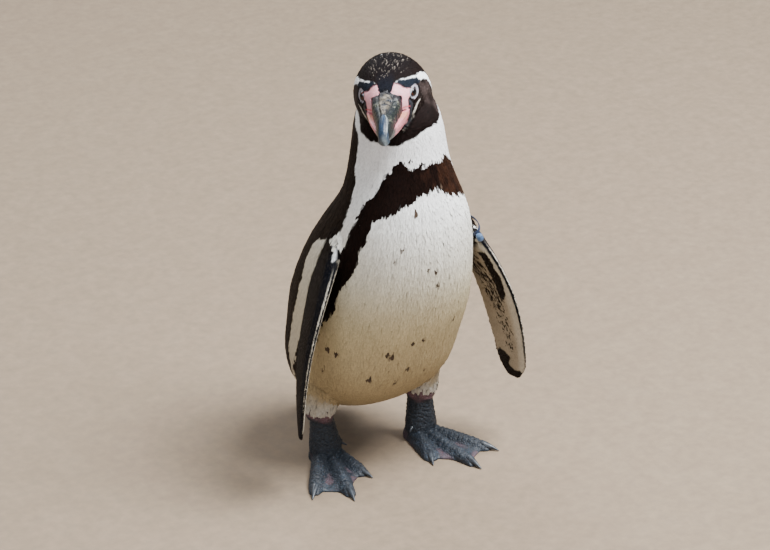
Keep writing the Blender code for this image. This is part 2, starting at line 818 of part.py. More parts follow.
def band_place(angle, out, down):
    """A point of the ring: angle from the leading edge, cm off its inner face, cm down."""
    middle, half_chord, half_thick = flipper_chord(BAND_SHARE)
    half_along = half_chord + BAND_CLEARANCE + BAND_SLACK / 2 + out
    half_across = half_thick * (1.0 + FLIPPER_LEAD_THICKER) + BAND_CLEARANCE + out
    across = half_across * math.sin(angle)
    length = (LEFT_TIP - LEFT_SHOULDER).length
    share = BAND_SHARE + (down - BAND_TILT * across) / length
    pose = (LEFT_SHOULDER, LEFT_TIP, LEFT_EDGE, LEFT_BEND)
    return flipper_point(pose, share, middle + BAND_SLACK / 2 + half_along * math.cos(angle), across)


def flipper_band(body_cutter):
    """The ring round the base of the left flipper; its ends go in under the body's feathers."""
    builder = bmesh.new()
    corners = ((0, -0.5), (BAND_THICKNESS, -0.5), (BAND_THICKNESS, 0.5), (0, 0.5))
    rows = []
    for angle in turns(BAND_SIDES):
        row = [band_place(angle, out, down * BAND_WIDTH) for out, down in corners]
        rows.append([builder.verts.new(point * CM) for point in row])
    for side in range(BAND_SIDES):
        first, second = rows[side], rows[(side + 1) % BAND_SIDES]
        for corner in range(4):
            after = (corner + 1) % 4
            builder.faces.new((first[corner], first[after], second[after], second[corner]))
    strip = add_object("band_strip", builder, "band")
    cut_away(strip, body_cutter)


def band_bead():
    """A short barrel that hangs on the ring's front."""
    out = BAND_THICKNESS + BEAD_RADIUS + BEAD_CLEARANCE
    centre = band_place(BEAD_ANGLE, out, BEAD_BELOW)
    down = (LEFT_TIP - LEFT_SHOULDER).normalized()
    path = [centre + down * BEAD_LENGTH * (share - 0.5) for share, _ in BEAD_BARREL]
    radii = [BEAD_RADIUS * radius for _, radius in BEAD_BARREL]
    tapered("band_bead", path, radii, BEAD_SIDES, "bead")


def pieces():
    return [obj for obj in bpy.data.objects if not obj.hide_render]


def centre_on_floor():
    """Moves everything so that the origin lies under the middle of the bounding box."""
    bpy.context.view_layer.update()
    graph = bpy.context.evaluated_depsgraph_get()
    corners = []
    for obj in pieces():
        mesh = obj.evaluated_get(graph).to_mesh()
        corners += [vert.co.copy() for vert in mesh.vertices]
        obj.evaluated_get(graph).to_mesh_clear()
    low = Vector(min(point[axis] for point in corners) for axis in range(3))
    high = Vector(max(point[axis] for point in corners) for axis in range(3))
    shift = Vector((-(low.x + high.x) / 2, -(low.y + high.y) / 2, -low.z))
    bird = bpy.data.objects.new("bird", None)
    bpy.context.scene.collection.objects.link(bird)
    for obj in bpy.data.objects:
        if obj.type == "MESH":
            obj.parent = bird
    bird.location = shift


def main():
    clear_scene()
    head = head_form()
    head_cutter = cutter_of(head)
    bill_half("bill_upper", UPPER_BILL, True, head_cutter)
    bill_half("bill_lower", LOWER_BILL, False, head_cutter)
    for name, side in (("eye_left", 1), ("eye_right", -1)):
        cut_away(head, cutter_of(eye_ball(name, side)))

    trunk = body_form("trunk", "white_plumage")
    body_cutter = cutter_of(trunk)
    neck = body_form("neck", "dark_plumage")
    half_seam = SEAM / 2
    keep_side(trunk, NECK_CUT_HEIGHT * CM - half_seam, above=False)
    keep_side(neck, NECK_CUT_HEIGHT * CM + half_seam, above=True)
    cut_away(neck, head_cutter)

    flipper("left", (LEFT_SHOULDER, LEFT_TIP, LEFT_EDGE, LEFT_BEND), body_cutter)
    flipper("right", (RIGHT_SHOULDER, RIGHT_TIP, RIGHT_EDGE, RIGHT_BEND), body_cutter)
    flipper_band(body_cutter)
    band_bead()
    tail(body_cutter)
    for side_name, ankle, turn, lean in (
        ("left", LEFT_ANKLE, LEFT_FOOT_TURN, LEFT_LEAN),
        ("right", RIGHT_ANKLE, RIGHT_FOOT_TURN, RIGHT_LEAN),
    ):
        leg_cutter = leg(side_name, ankle, turn, lean, body_cutter)
        foot(side_name, ankle, turn, lean, leg_cutter)
    centre_on_floor()


main()
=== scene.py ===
"""Looks of a still, life-size Humboldt penguin: skin, plumage, bill, eyes, feet and flipper tag.

The tables are centimetres in the bird's own frame: it faces -Y, its left is +X, the ankles' middle
is the origin and the floor is at height 0. Finished meshes are metres in the row frame.
"""

import itertools
import json
import logging
import math
from dataclasses import dataclass, field
from enum import Enum

import bpy
import numpy as np
from mathutils import Matrix, Vector, kdtree
from mathutils.bvhtree import BVHTree

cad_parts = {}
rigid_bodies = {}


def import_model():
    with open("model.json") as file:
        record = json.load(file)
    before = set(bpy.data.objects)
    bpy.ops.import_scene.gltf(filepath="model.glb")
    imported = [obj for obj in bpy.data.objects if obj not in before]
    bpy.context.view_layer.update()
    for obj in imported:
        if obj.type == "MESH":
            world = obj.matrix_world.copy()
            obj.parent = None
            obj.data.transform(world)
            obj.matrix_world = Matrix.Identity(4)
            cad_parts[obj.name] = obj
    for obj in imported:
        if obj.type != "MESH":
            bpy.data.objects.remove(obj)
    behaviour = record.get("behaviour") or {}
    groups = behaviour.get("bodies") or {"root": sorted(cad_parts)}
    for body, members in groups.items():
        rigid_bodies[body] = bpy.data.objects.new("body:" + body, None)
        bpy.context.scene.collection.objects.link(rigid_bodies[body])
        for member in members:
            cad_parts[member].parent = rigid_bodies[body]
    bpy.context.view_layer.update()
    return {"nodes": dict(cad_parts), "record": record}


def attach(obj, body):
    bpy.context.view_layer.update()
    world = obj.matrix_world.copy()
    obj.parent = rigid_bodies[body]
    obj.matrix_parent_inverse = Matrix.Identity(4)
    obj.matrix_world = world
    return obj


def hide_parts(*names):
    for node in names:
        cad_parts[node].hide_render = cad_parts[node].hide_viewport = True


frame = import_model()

LOG = logging.getLogger("penguin")
CM = 0.01
SOLE = Vector((0.054, -0.007, 0.0))  # the soles mount in the bird's own frame, in metres
SEED = 20
PAINT = "plumage"  # colour attribute of the skin and every vane
BAKE_MAP = "OFBake"
VANE_MAP = "Vane"
PATCH = 0.003  # size of a vane's patch on the bake map
MERGE = 1e-6  # vertices nearer than this are one, in metres


class Region(Enum):
    """The part of the bird that a point of the skin belongs to."""

    BODY = 0
    HEAD = 1
    TAIL = 2
    LEG = 3
    FOOT = 4
    FLIPPER_LEFT = 5
    FLIPPER_RIGHT = 6


FLESH = {
    "head": Region.HEAD, "neck": Region.BODY, "trunk": Region.BODY, "tail": Region.TAIL,
    "leg_left": Region.LEG, "leg_right": Region.LEG,
    "foot_left": Region.FOOT, "foot_right": Region.FOOT,
    "flipper_left": Region.FLIPPER_LEFT, "flipper_right": Region.FLIPPER_RIGHT,
}

# Height, breast line, back line, half width of neck and trunk.
BODY = np.array((
    (4.3, -3.6, 13.0, 8.2),
    (9.6, -6.8, 10.1, 8.35),
    (14.0, -8.5, 8.9, 8.4),
    (18.5, -10.2, 7.9, 8.6),
    (23.2, -11.3, 5.9, 8.0),
    (27.6, -11.5, 2.8, 7.1),
    (30.9, -11.0, 0.4, 5.8),
    (33.8, -10.0, 0.3, 4.75),
    (36.6, -9.3, 0.0, 4.3),
    (40.0, -8.7, -0.2, 3.95),
    (43.0, -8.4, -0.4, 3.8),
))
# Distance behind the bill's base, crown, throat, half width of the head.
HEAD = np.array((
    (-0.5, 0.1, -3.3, 1.6),
    (0.6, 0.55, -3.7, 2.2),
    (1.9, 1.2, -4.3, 2.95),
    (3.2, 1.75, -5.0, 3.4),
    (4.8, 1.95, -5.5, 3.75),
    (6.4, 1.5, -5.5, 3.6),
    (7.9, 0.2, -4.8, 3.0),
    (8.4, -0.4, -4.2, 2.7),
))
# Share of the flipper's length, leading edge, trailing edge, half thickness.
FLIPPER = np.array((
    (0.0, 1.6, -1.8, 0.80),
    (0.12, 2.5, -2.5, 0.72),
    (0.26, 3.2, -3.1, 0.56),
    (0.45, 3.3, -3.0, 0.42),
    (0.65, 2.8, -3.3, 0.32),
    (0.82, 2.1, -3.2, 0.25),
    (0.93, 1.4, -3.0, 0.20),
    (1.0, 0.0, -2.0, 0.15),
))
FLIPPER_BOW = 1.0


# ---------------------------------------------------------------- numbers and patterns


def column(table: np.ndarray, at: np.ndarray, index: int) -> np.ndarray:
    """One column of a table as a smooth curve, read at places of its first column.

    Args:
        table: rows that rise in their first column.
        at: places of the first column.
        index: the column to read.

    Returns:
        A value for each place.
    """
    x, y = table[:, 0], table[:, index]
    slope = np.gradient(y, x)
    cell = np.clip(np.searchsorted(x, at) - 1, 0, len(x) - 2)
    span = x[cell + 1] - x[cell]
    t = np.clip((at - x[cell]) / span, 0.0, 1.0)
    rise = (slope[cell] * t * (1 - t) ** 2 - slope[cell + 1] * t * t * (1 - t)) * span
    return y[cell] + (y[cell + 1] - y[cell]) * t * t * (3 - 2 * t) + rise


def smoothstep(low: float, high: float, value: np.ndarray) -> np.ndarray:
    """Rises smoothly from 0 at low to 1 at high."""
    share = np.clip((value - low) / (high - low), 0.0, 1.0)
    return share * share * (3.0 - 2.0 * share)


def hump(value: np.ndarray, width: float) -> np.ndarray:
    """1 where a value is 0, falling away over a width."""
    return np.exp(-((value / width) ** 2))


def lattice(cell: np.ndarray, seed: int) -> np.ndarray:
    """A fixed random number, 0 to 1, for each cell of a grid."""
    mixed = cell[:, 0] * 73856093 ^ cell[:, 1] * 19349663 ^ cell[:, 2] * 83492791 ^ seed * 7919
    mixed = (mixed ^ (mixed >> 13)) * 1274126177
    return ((mixed ^ (mixed >> 16)) & 0xFFFF) / 0xFFFF


def noise(points: np.ndarray, size: float, seed: int) -> np.ndarray:
    """Smooth noise in -1 to 1 with blotches of a size.

    Args:
        points: places, one row each.
        size: width of a blotch, in the points' unit.
        seed: picks the pattern.

    Returns:
        One value for each point.
    """
    place = points / size + 1000.0
    cell = np.floor(place).astype(np.int64)
    part = place - cell
    part = part * part * (3.0 - 2.0 * part)
    total = np.zeros(len(points))
    for corner in itertools.product((0, 1), repeat=3):
        weight = np.prod(np.where(corner, part, 1.0 - part), axis=1)
        total += weight * lattice(cell + np.array(corner), seed)
    return 2.0 * total - 1.0


def inside_depth(flat: np.ndarray, outline: list) -> np.ndarray:
    """How far points of a plane lie inside an outline; outside it the value is negative.

    Args:
        flat: points of the plane, one row each.
        outline: the outline's corners in turn.

    Returns:
        A depth for each point.
    """
    corners = np.asarray(outline, float)
    nearest = np.full(len(flat), np.inf)
    odd = np.zeros(len(flat), bool)
    for start, end in zip(corners, np.roll(corners, -1, axis=0)):
        edge = end - start
        along = np.clip((flat - start) @ edge / max(edge @ edge, 1e-12), 0.0, 1.0)
        gap = flat - start - along[:, None] * edge
        nearest = np.minimum(nearest, np.einsum("ij,ij->i", gap, gap))
        if edge[1]:
            crossing = (start[1] > flat[:, 1]) != (end[1] > flat[:, 1])
            at = start[0] + (flat[:, 1] - start[1]) / edge[1] * edge[0]
            odd ^= crossing & (flat[:, 0] < at)
    return np.where(odd, 1.0, -1.0) * np.sqrt(nearest)


def stroke_depth(points: np.ndarray, line: list) -> np.ndarray:
    """How far points lie inside a stroke, whose rows end with its half width there.

    Args:
        points: places, one row each.
        line: the stroke's rows: a place, then the half width.

    Returns:
        A depth for each point, negative outside.
    """
    rows = np.asarray(line, float)
    best = np.full(len(points), -np.inf)
    for start, end in zip(rows, rows[1:]):
        edge = end[:-1] - start[:-1]
        along = np.clip((points - start[:-1]) @ edge / (edge @ edge), 0.0, 1.0)
        gap = points - start[:-1] - along[:, None] * edge
        half = start[-1] + (end[-1] - start[-1]) * along
        best = np.maximum(best, half - np.linalg.norm(gap, axis=1))
    return best


def spread_out(places: np.ndarray, apart: np.ndarray, free: np.ndarray) -> np.ndarray:
    """Picks places in turn, and none that lies too near an earlier pick.

    Args:
        places: the places to pick from.
        apart: how far round each pick the others are dropped.
        free: which places may be picked.

    Returns:
        The numbers of the picks.
    """
    tree = kdtree.KDTree(len(places))
    for number, place in enumerate(places):
        tree.insert(place, number)
    tree.balance()
    kept = []
    for number, place in enumerate(places):
        if free[number]:
            kept.append(number)
            for _, other, _ in tree.find_range(place, apart[number]):
                free[other] = False
    return np.array(kept)


def unit(vectors: np.ndarray) -> np.ndarray:
    """The rows at length 1."""
    return vectors / np.maximum(np.linalg.norm(vectors, axis=1, keepdims=True), 1e-12)


def on_plane(vectors: np.ndarray, normals: np.ndarray) -> np.ndarray:
    """The rows laid into the planes of the normals, at length 1."""
    return unit(vectors - np.sum(vectors * normals, axis=1, keepdims=True) * normals)


# ---------------------------------------------------------------- frames


@dataclass
class BirdFrame:
    """The bird's own axes, and the head's: bill base at the origin, bill along -Y, crown +Z."""

    bill_base: tuple = (-3.4, -7.5, 42.6)
    turn: float = math.radians(-37.5)
    drop: float = math.radians(4.0)
    tilt: float = math.radians(-7.0)
    shift: Vector = field(default_factory=Vector)

    def __post_init__(self) -> None:
        """Finds where the row frame lies from the soles mount."""
        mount = next(m for m in frame["record"]["mounts"] if m["name"] == "soles")
        self.shift = Vector(mount["pos_m"]) - SOLE

    def head(self) -> Matrix:
        """From the head's frame to the bird's, both in centimetres.

        Returns:
            The matrix.
        """
        turned = (
            Matrix.Rotation(self.turn, 4, "Z")
            @ Matrix.Rotation(self.drop, 4, "X")
            @ Matrix.Rotation(self.tilt, 4, "Y")
        )
        return Matrix.Translation(self.bill_base) @ turned

    def to_bird(self, row: np.ndarray) -> np.ndarray:
        """Row-frame metres to the bird's centimetres."""
        return (row - np.array(self.shift)) / CM

    def to_row(self, bird: np.ndarray) -> np.ndarray:
        """The bird's centimetres to row-frame metres."""
        return np.asarray(bird, float) * CM + np.array(self.shift)

    def to_head(self, bird: np.ndarray) -> np.ndarray:
        """The bird's centimetres to the head's."""
        matrix = np.array(self.head().inverted())
        return bird @ matrix[:3, :3].T + matrix[:3, 3]

    def head_to_row(self, local: np.ndarray) -> np.ndarray:
        """The head's centimetres to row-frame metres."""
        matrix = np.array(self.head())
        return self.to_row(np.asarray(local, float) @ matrix[:3, :3].T + matrix[:3, 3])


@dataclass(frozen=True)
class FlipperPose:
    """Where one flipper hangs: shoulder, tip, headings of its leading edge and its arch."""

    root: tuple
    tip: tuple
    headings: tuple
    bend: float
    side: int

    def read(self, points: np.ndarray) -> tuple:
        """Reads points in the blade's own measures.

        Args:
            points: places in the bird's frame.

        Returns:
            Share of the length, chord from -1 trailing to 1 leading, distance outwards of the
            blade's middle sheet, and the directions down the blade and to its leading edge.
        """
        root = np.array(self.root)
        span = np.array(self.tip) - root
        length = np.linalg.norm(span)
        down = span / length
        offset = points - root
        share = offset @ down / length
        kept = np.clip(share, 0.0, 1.0)
        turn = np.radians(self.headings[0] + (self.headings[1] - self.headings[0]) * kept)
        edge = np.stack((np.cos(turn), -np.sin(turn), np.zeros_like(turn)), axis=1)
        edge = on_plane(edge, np.broadcast_to(down, edge.shape))
        outward = np.cross(edge, down)
        outward *= np.sign(outward[:, :1] * self.side)
        lead, trail = column(FLIPPER, kept, 1), column(FLIPPER, kept, 2)
        middle = (lead + trail) / 2 + FLIPPER_BOW * (np.sin(np.pi * kept) - kept / 2)
        chord = (np.sum(offset * edge, axis=1) - middle) / ((lead - trail) / 2)
        across = np.sum(offset * outward, axis=1) - self.bend * np.sin(np.pi * kept)
        return share, chord, across, np.broadcast_to(down, edge.shape), edge


FLIPPERS = {
    Region.FLIPPER_LEFT: FlipperPose((5.8, -4.2, 28.0), (13.4, -7.4, 7.4), (86, 84), 0.8, 1),
    Region.FLIPPER_RIGHT: FlipperPose((-5.5, -2.6, 28.2), (-12.3, -6.1, 7.3), (106, 119), 1.4, -1),
}


@dataclass(frozen=True)
class FootPose:
    """Where one foot stands: its ankle, its turn and its toes' lines, seen from above."""

    ankle: tuple
    turn: float
    side: int
    # Heading off the middle toe towards the inner side, length, root aside, half width.
    toes: tuple = ((30, 4.8, 0.95, 0.84), (0, 7.7, 0.0, 0.78), (-27, 7.05, -0.75, 0.78))
    root_ahead: float = 0.6

    def to_foot(self, points: np.ndarray) -> np.ndarray:
        """The bird's places in the foot's frame: toes along -Y, the inner side +X."""
        turn = math.radians(self.turn)
        offset = points - np.array(self.ankle)
        x = offset[:, 0] * math.cos(turn) + offset[:, 1] * math.sin(turn)
        y = -offset[:, 0] * math.sin(turn) + offset[:, 1] * math.cos(turn)
        return np.stack((-self.side * x, y, offset[:, 2]), axis=1)

    def lines(self) -> list:
        """Root and end of each toe's line, and its half width.

        Returns:
            A row for each toe.
        """
        rows = []
        for heading, length, aside, half in self.toes:
            turn = math.radians(heading)
            rows.append((
                np.array((aside, -self.root_ahead)),
                length * np.array((math.sin(turn), -math.cos(turn))),
                half,
            ))
        return rows

    def read(self, points: np.ndarray) -> tuple:
        """Reads points by the toe next to them.

        Args:
            points: places in the bird's frame.

        Returns:
            Distance from the nearest toe's line over its half width, share of that line, and the
            toe's direction in the bird's frame.
        """
        local = self.to_foot(points)
        best = np.full(len(points), np.inf)
        share = np.zeros(len(points))
        way = np.zeros((len(points), 3))
        turn = math.radians(self.turn)
        for root, end, half in self.lines():
            run = end - root
            along = np.clip((local[:, :2] - root) @ run / (run @ run), 0.0, 1.0)
            gap = np.linalg.norm(local[:, :2] - root - along[:, None] * run, axis=1) / half
            closer = gap < best
            best = np.where(closer, gap, best)
            share = np.where(closer, along, share)
            x, y = -self.side * run[0], run[1]
            ahead = x * math.sin(turn) + y * math.cos(turn)
            way[closer] = (x * math.cos(turn) - y * math.sin(turn), ahead, 0)
            way[closer] /= np.linalg.norm(run)
        return best, share, way


FEET = (FootPose((5.4, -0.7, 0.0), 8.0, 1), FootPose((-5.3, 0.7, 0.0), -14.0, -1))


# ---------------------------------------------------------------- markings


@dataclass(frozen=True)
class Colours:
    """Colours of feathers and bare skin, linear."""

    dark: tuple = (0.006, 0.003, 0.0025)
    band: tuple = (0.0062, 0.0024, 0.0016)
    # Rust-brown of the breast band's streaks, which also stands in for a painted highlight on its
    # lit side.
    rust: tuple = (0.032, 0.013, 0.007)
    back: tuple = (0.0095, 0.0055, 0.0036)
    crown: tuple = (0.0028, 0.0022, 0.0032)
    # Blue painted on the dark forehead as a sheen.
    forehead: tuple = (0.004, 0.005, 0.009)
    blue_black: tuple = (0.006, 0.009, 0.015)
    white: tuple = (0.88, 0.89, 0.89)
    cream: tuple = (0.62, 0.57, 0.47)
    spot: tuple = (0.075, 0.052, 0.038)
    cuff: tuple = (0.50, 0.47, 0.41)
    cheek: tuple = (0.036, 0.025, 0.023)
    pink: tuple = (0.62, 0.29, 0.32)
    deep_pink: tuple = (0.40, 0.07, 0.09)
    ring: tuple = (0.26, 0.24, 0.27)
    jaw_black: tuple = (0.010, 0.011, 0.016)
    jaw_line: tuple = (0.52, 0.49, 0.43)
    blade_outer: tuple = (0.013, 0.010, 0.009)
    # Darker flipper edge, tinted blue as a painted sheen.
    blade_lead: tuple = (0.004, 0.005, 0.009)
    blade_inner: tuple = (0.42, 0.355, 0.265)
    foot: tuple = (0.011, 0.016, 0.024)
    # Worn blue-grey skin of the feet, which also stands in for a painted highlight.
    foot_worn: tuple = (0.034, 0.047, 0.066)
    foot_flush: tuple = (0.16, 0.085, 0.10)


HUES = Colours()
# Height and colour of the breast and belly, which darken towards the vent: partly a stain, partly
# painted shade under the belly.
BELLY_TINTS = np.array((
    (5.0, 0.28, 0.215, 0.13),
    (9.0, 0.36, 0.285, 0.165),
    (14.0, 0.46, 0.375, 0.225),
    (20.0, 0.58, 0.51, 0.34),
    (26.0, 0.77, 0.75, 0.66),
    (32.0, 0.87, 0.88, 0.87),
    (36.0, 0.86, 0.86, 0.86),
))
DEGREE = 0.14  # cm round the body for a degree
# Breast band and flank stripe of one side: degrees from straight ahead, height.
BAND = (
    (-8, 35.6), (0, 35.6), (15, 35.7), (29, 35.5), (34, 35.8), (40, 35.4), (45, 34.9), (53.5, 34.4),
    (58, 33.8), (59.4, 33.1), (64, 32.5), (71.6, 31.9), (75, 31.3), (77, 30.1), (75.5, 28.7),
    (75.3, 27.2), (80, 25), (84, 21), (88, 17), (96, 13), (100, 10), (101, 8), (90, 9), (86, 11),
    (80, 13.5), (75, 16), (71, 18.7), (69, 20.7), (65.7, 22.8), (62.8, 24.8), (60, 27.1),
    (59.3, 28.2), (58.4, 30.2), (53, 30.6), (46, 30.9), (37, 31.4), (31, 31.8), (23, 32),
    (10, 32.5), (0, 32.7), (-8, 32.7),
)
# Front edge of the dark nape and back: height, degrees on the bird's left and on its right.
BACK_EDGE = np.array((
    (4.0, 126, 126), (8.0, 112, 112), (10.2, 105, 105), (12.1, 107.5, 107.5), (14, 108, 108),
    (16.7, 106.3, 106.3), (19, 105, 105), (22.3, 109.4, 109.4), (24.6, 112.7, 112.7),
    (26.0, 109, 109), (26.8, 96, 96), (27.8, 88, 88), (28.9, 87.6, 87.6), (30.8, 93, 93),
    (31.7, 95, 95), (33.0, 92, 92), (34.4, 98, 98), (36.4, 98, 98), (37.3, 97, 100),
    (38.3, 95, 110), (39.3, 92, 122), (41.0, 90, 138),
))
# Lower edge of the dark face: degrees (negative on the bird's right), height.
FACE_EDGE = np.array((
    (-130, 40.9), (-115, 39.8), (-100, 38.5), (-93, 37.7), (-82, 37.5), (-59, 37.3), (-38, 37.45),
    (-27, 37.7), (-16, 38.0), (-3, 38.4), (10, 38.7), (37, 38.8), (55, 39.4), (70, 40.3),
    (85, 41.5),
))
# Spots of the belly: degrees, height, half width.
SPOTS = (
    (-33.6, 26.5, 0.26), (-29.6, 27.7, 0.24), (-7.9, 25.4, 0.2), (-1.1, 24.9, 0.18),
    (1.7, 23.2, 0.24),
    (-65.6, 15.4, 0.26), (-58.3, 15.0, 0.27), (-25.3, 15.6, 0.2), (-22.6, 15.1, 0.22),
    (-9.4, 16.5, 0.18), (-2.2, 16.7, 0.22), (-7.6, 13.1, 0.24), (8, 12.3, 0.2), (-33.6, 12.2, 0.24),
    (-13.6, 11.4, 0.22), (-66.5, 12.4, 0.2), (23.5, 17.9, 0.22), (14.7, 33.1, 0.2),
    (-20.8, 31.1, 0.3), (-67, 6.9, 0.26), (52, 20.5, 0.22), (47, 15.2, 0.24), (61, 13.5, 0.2),
)
HEAD_FROM = 36.0  # height above which the head's marks are looked for, cm
DARK_BELOW = 0.1  # marks under this shade count as dark
# The head's marks of one side: (aside, behind, above the bill's base) and half width.
BROW_STRIPE = (
    (0.95, 1.2, 0.66, 0.04), (1.38, 1.62, 0.62, 0.08), (1.78, 1.98, 0.5, 0.1),
    (2.2, 2.37, 0.32, 0.14), (2.56, 2.87, 0.14, 0.24), (2.83, 3.36, -0.02, 0.3),
    (3.08, 4.05, -0.18, 0.36), (3.4, 4.9, -0.7, 0.4), (3.5, 5.5, -1.5, 0.42),
    (3.5, 5.8, -2.4, 0.42),
)
# Where that stripe runs on into the neck's white: degrees and height of each side, left first.
STRIPE_FOOT = (((84, 40.0), (80, 38.6)), ((-128, 40.0), (-104, 38.2)))
# Outlines in the plane across the face: aside, above the bill's base.
BILL_BASE = (
    (-0.1, 0.27), (0.12, 0.22), (0.5, -0.08), (0.9, -0.2), (1.38, -0.36), (1.46, -0.5),
    (1.44, -0.9),
    (1.4, -1.3), (1.38, -1.7), (1.7, -1.75), (1.85, -2.4), (1.6, -3.0), (0.9, -3.25), (-0.1, -3.3),
)
BLUE_PATCH = (
    (1.05, 0.58), (1.5, 0.24), (1.85, -0.03), (2.12, -0.2), (2.4, -0.2), (2.62, -0.3), (2.9, -0.5),
    (3.0, -0.25), (2.8, -0.02), (2.6, 0.08), (2.2, 0.3), (1.78, 0.48), (1.44, 0.58), (1.2, 0.66),
)
PINK_PATCH = (
    (0.72, 0.5), (0.83, 0.6), (1.09, 0.5), (1.44, 0.25), (1.69, 0.02), (1.95, -0.12), (2.2, -0.25),
    (2.2, -0.75), (2.0, -0.95), (1.98, -1.2), (1.95, -1.6), (1.93, -2.2), (1.85, -2.8),
    (1.6, -3.3), (0.8, -3.6), (0.6, -2.0), (0.4, -0.3), (0.45, 0.05), (0.62, 0.22),
)
# The jaw's marks: aside, height where the face is looked at from a little above, and half width.
FACE_SLOPE = 0.445
JAW_BLACK = (
    (2.08, -0.76, 0, 0.1), (2.27, -1.17, 0, 0.14), (2.12, -1.78, 0, 0.12),
    (2.02, -2.41, 0, 0.13), (1.75, -3.1, 0, 0.13), (1.2, -3.68, 0, 0.1),
)
JAW_LINE = (
    (2.9, -0.78, 0, 0.03), (2.68, -1.13, 0, 0.045), (2.5, -1.57, 0, 0.06), (2.2, -2.22, 0, 0.06),
    (2.02, -2.71, 0, 0.06), (1.62, -3.33, 0, 0.06), (1.15, -3.85, 0, 0.05),
)
GAPE_LINE = (
    (1.3, -0.5, -1.47, 0.05), (1.6, 0.0, -1.42, 0.06), (1.92, 0.3, -1.5, 0.06),
    (2.12, 0.5, -1.62, 0.03),
)
# Marks of the flipper's inner side: share of its length, chord.
BLADE_BAR = (
    (0.255, 0.48), (0.25, 0.82), (0.33, 0.8), (0.42, 0.82), (0.5, 0.68), (0.535, 0.5), (0.53, 0.3),
    (0.45, 0.36), (0.37, 0.42), (0.3, 0.5),
)
BLADE_TIP = (
    (0.85, -0.62), (0.86, -0.3), (0.885, 0.0), (0.93, -0.1), (0.95, 0.3), (0.95, 0.7), (0.98, 1.2),
    (1.02, 1.2), (1.02, -1.3), (0.9, -1.1),
)
# Mark of its outer side: the white prong that runs down from the shoulder.
BLADE_PRONG = ((-0.1, 0.5), (-0.1, 0.98), (0.1, 0.98), (0.165, 0.9), (0.1, 0.72), (0.0, 0.6))
BLADE_SCALE = np.array((20.0, 3.0))  # cm for a share of the blade and for a unit of its chord
DASHES_SHARE = (0.25, 0.75)  # between these shares the run of dashes shifts and narrows


def blended(colours: np.ndarray, mask: np.ndarray, colour: tuple | np.ndarray) -> np.ndarray:
    """Lays a colour over others where a mask says."""
    return colours + (np.asarray(colour) - colours) * mask[:, None]


def layered(colours: np.ndarray, *layers: tuple) -> np.ndarray:
    """Lays colours over others in turn, each given as its mask and itself."""
    for mask, colour in layers:
        colours = blended(colours, mask, colour)
    return colours


def soft(value: np.ndarray, width: float) -> np.ndarray:
    """A mask of where a value is above 0, with an edge that fades over a width each way."""
    return smoothstep(-width, width, value)


def toned(colour: tuple, *shares: np.ndarray) -> np.ndarray:
    """One row of a colour for each place, lightened by the sum of some shares."""
    return np.array(colour) * (1.0 + sum(shares))[:, None]


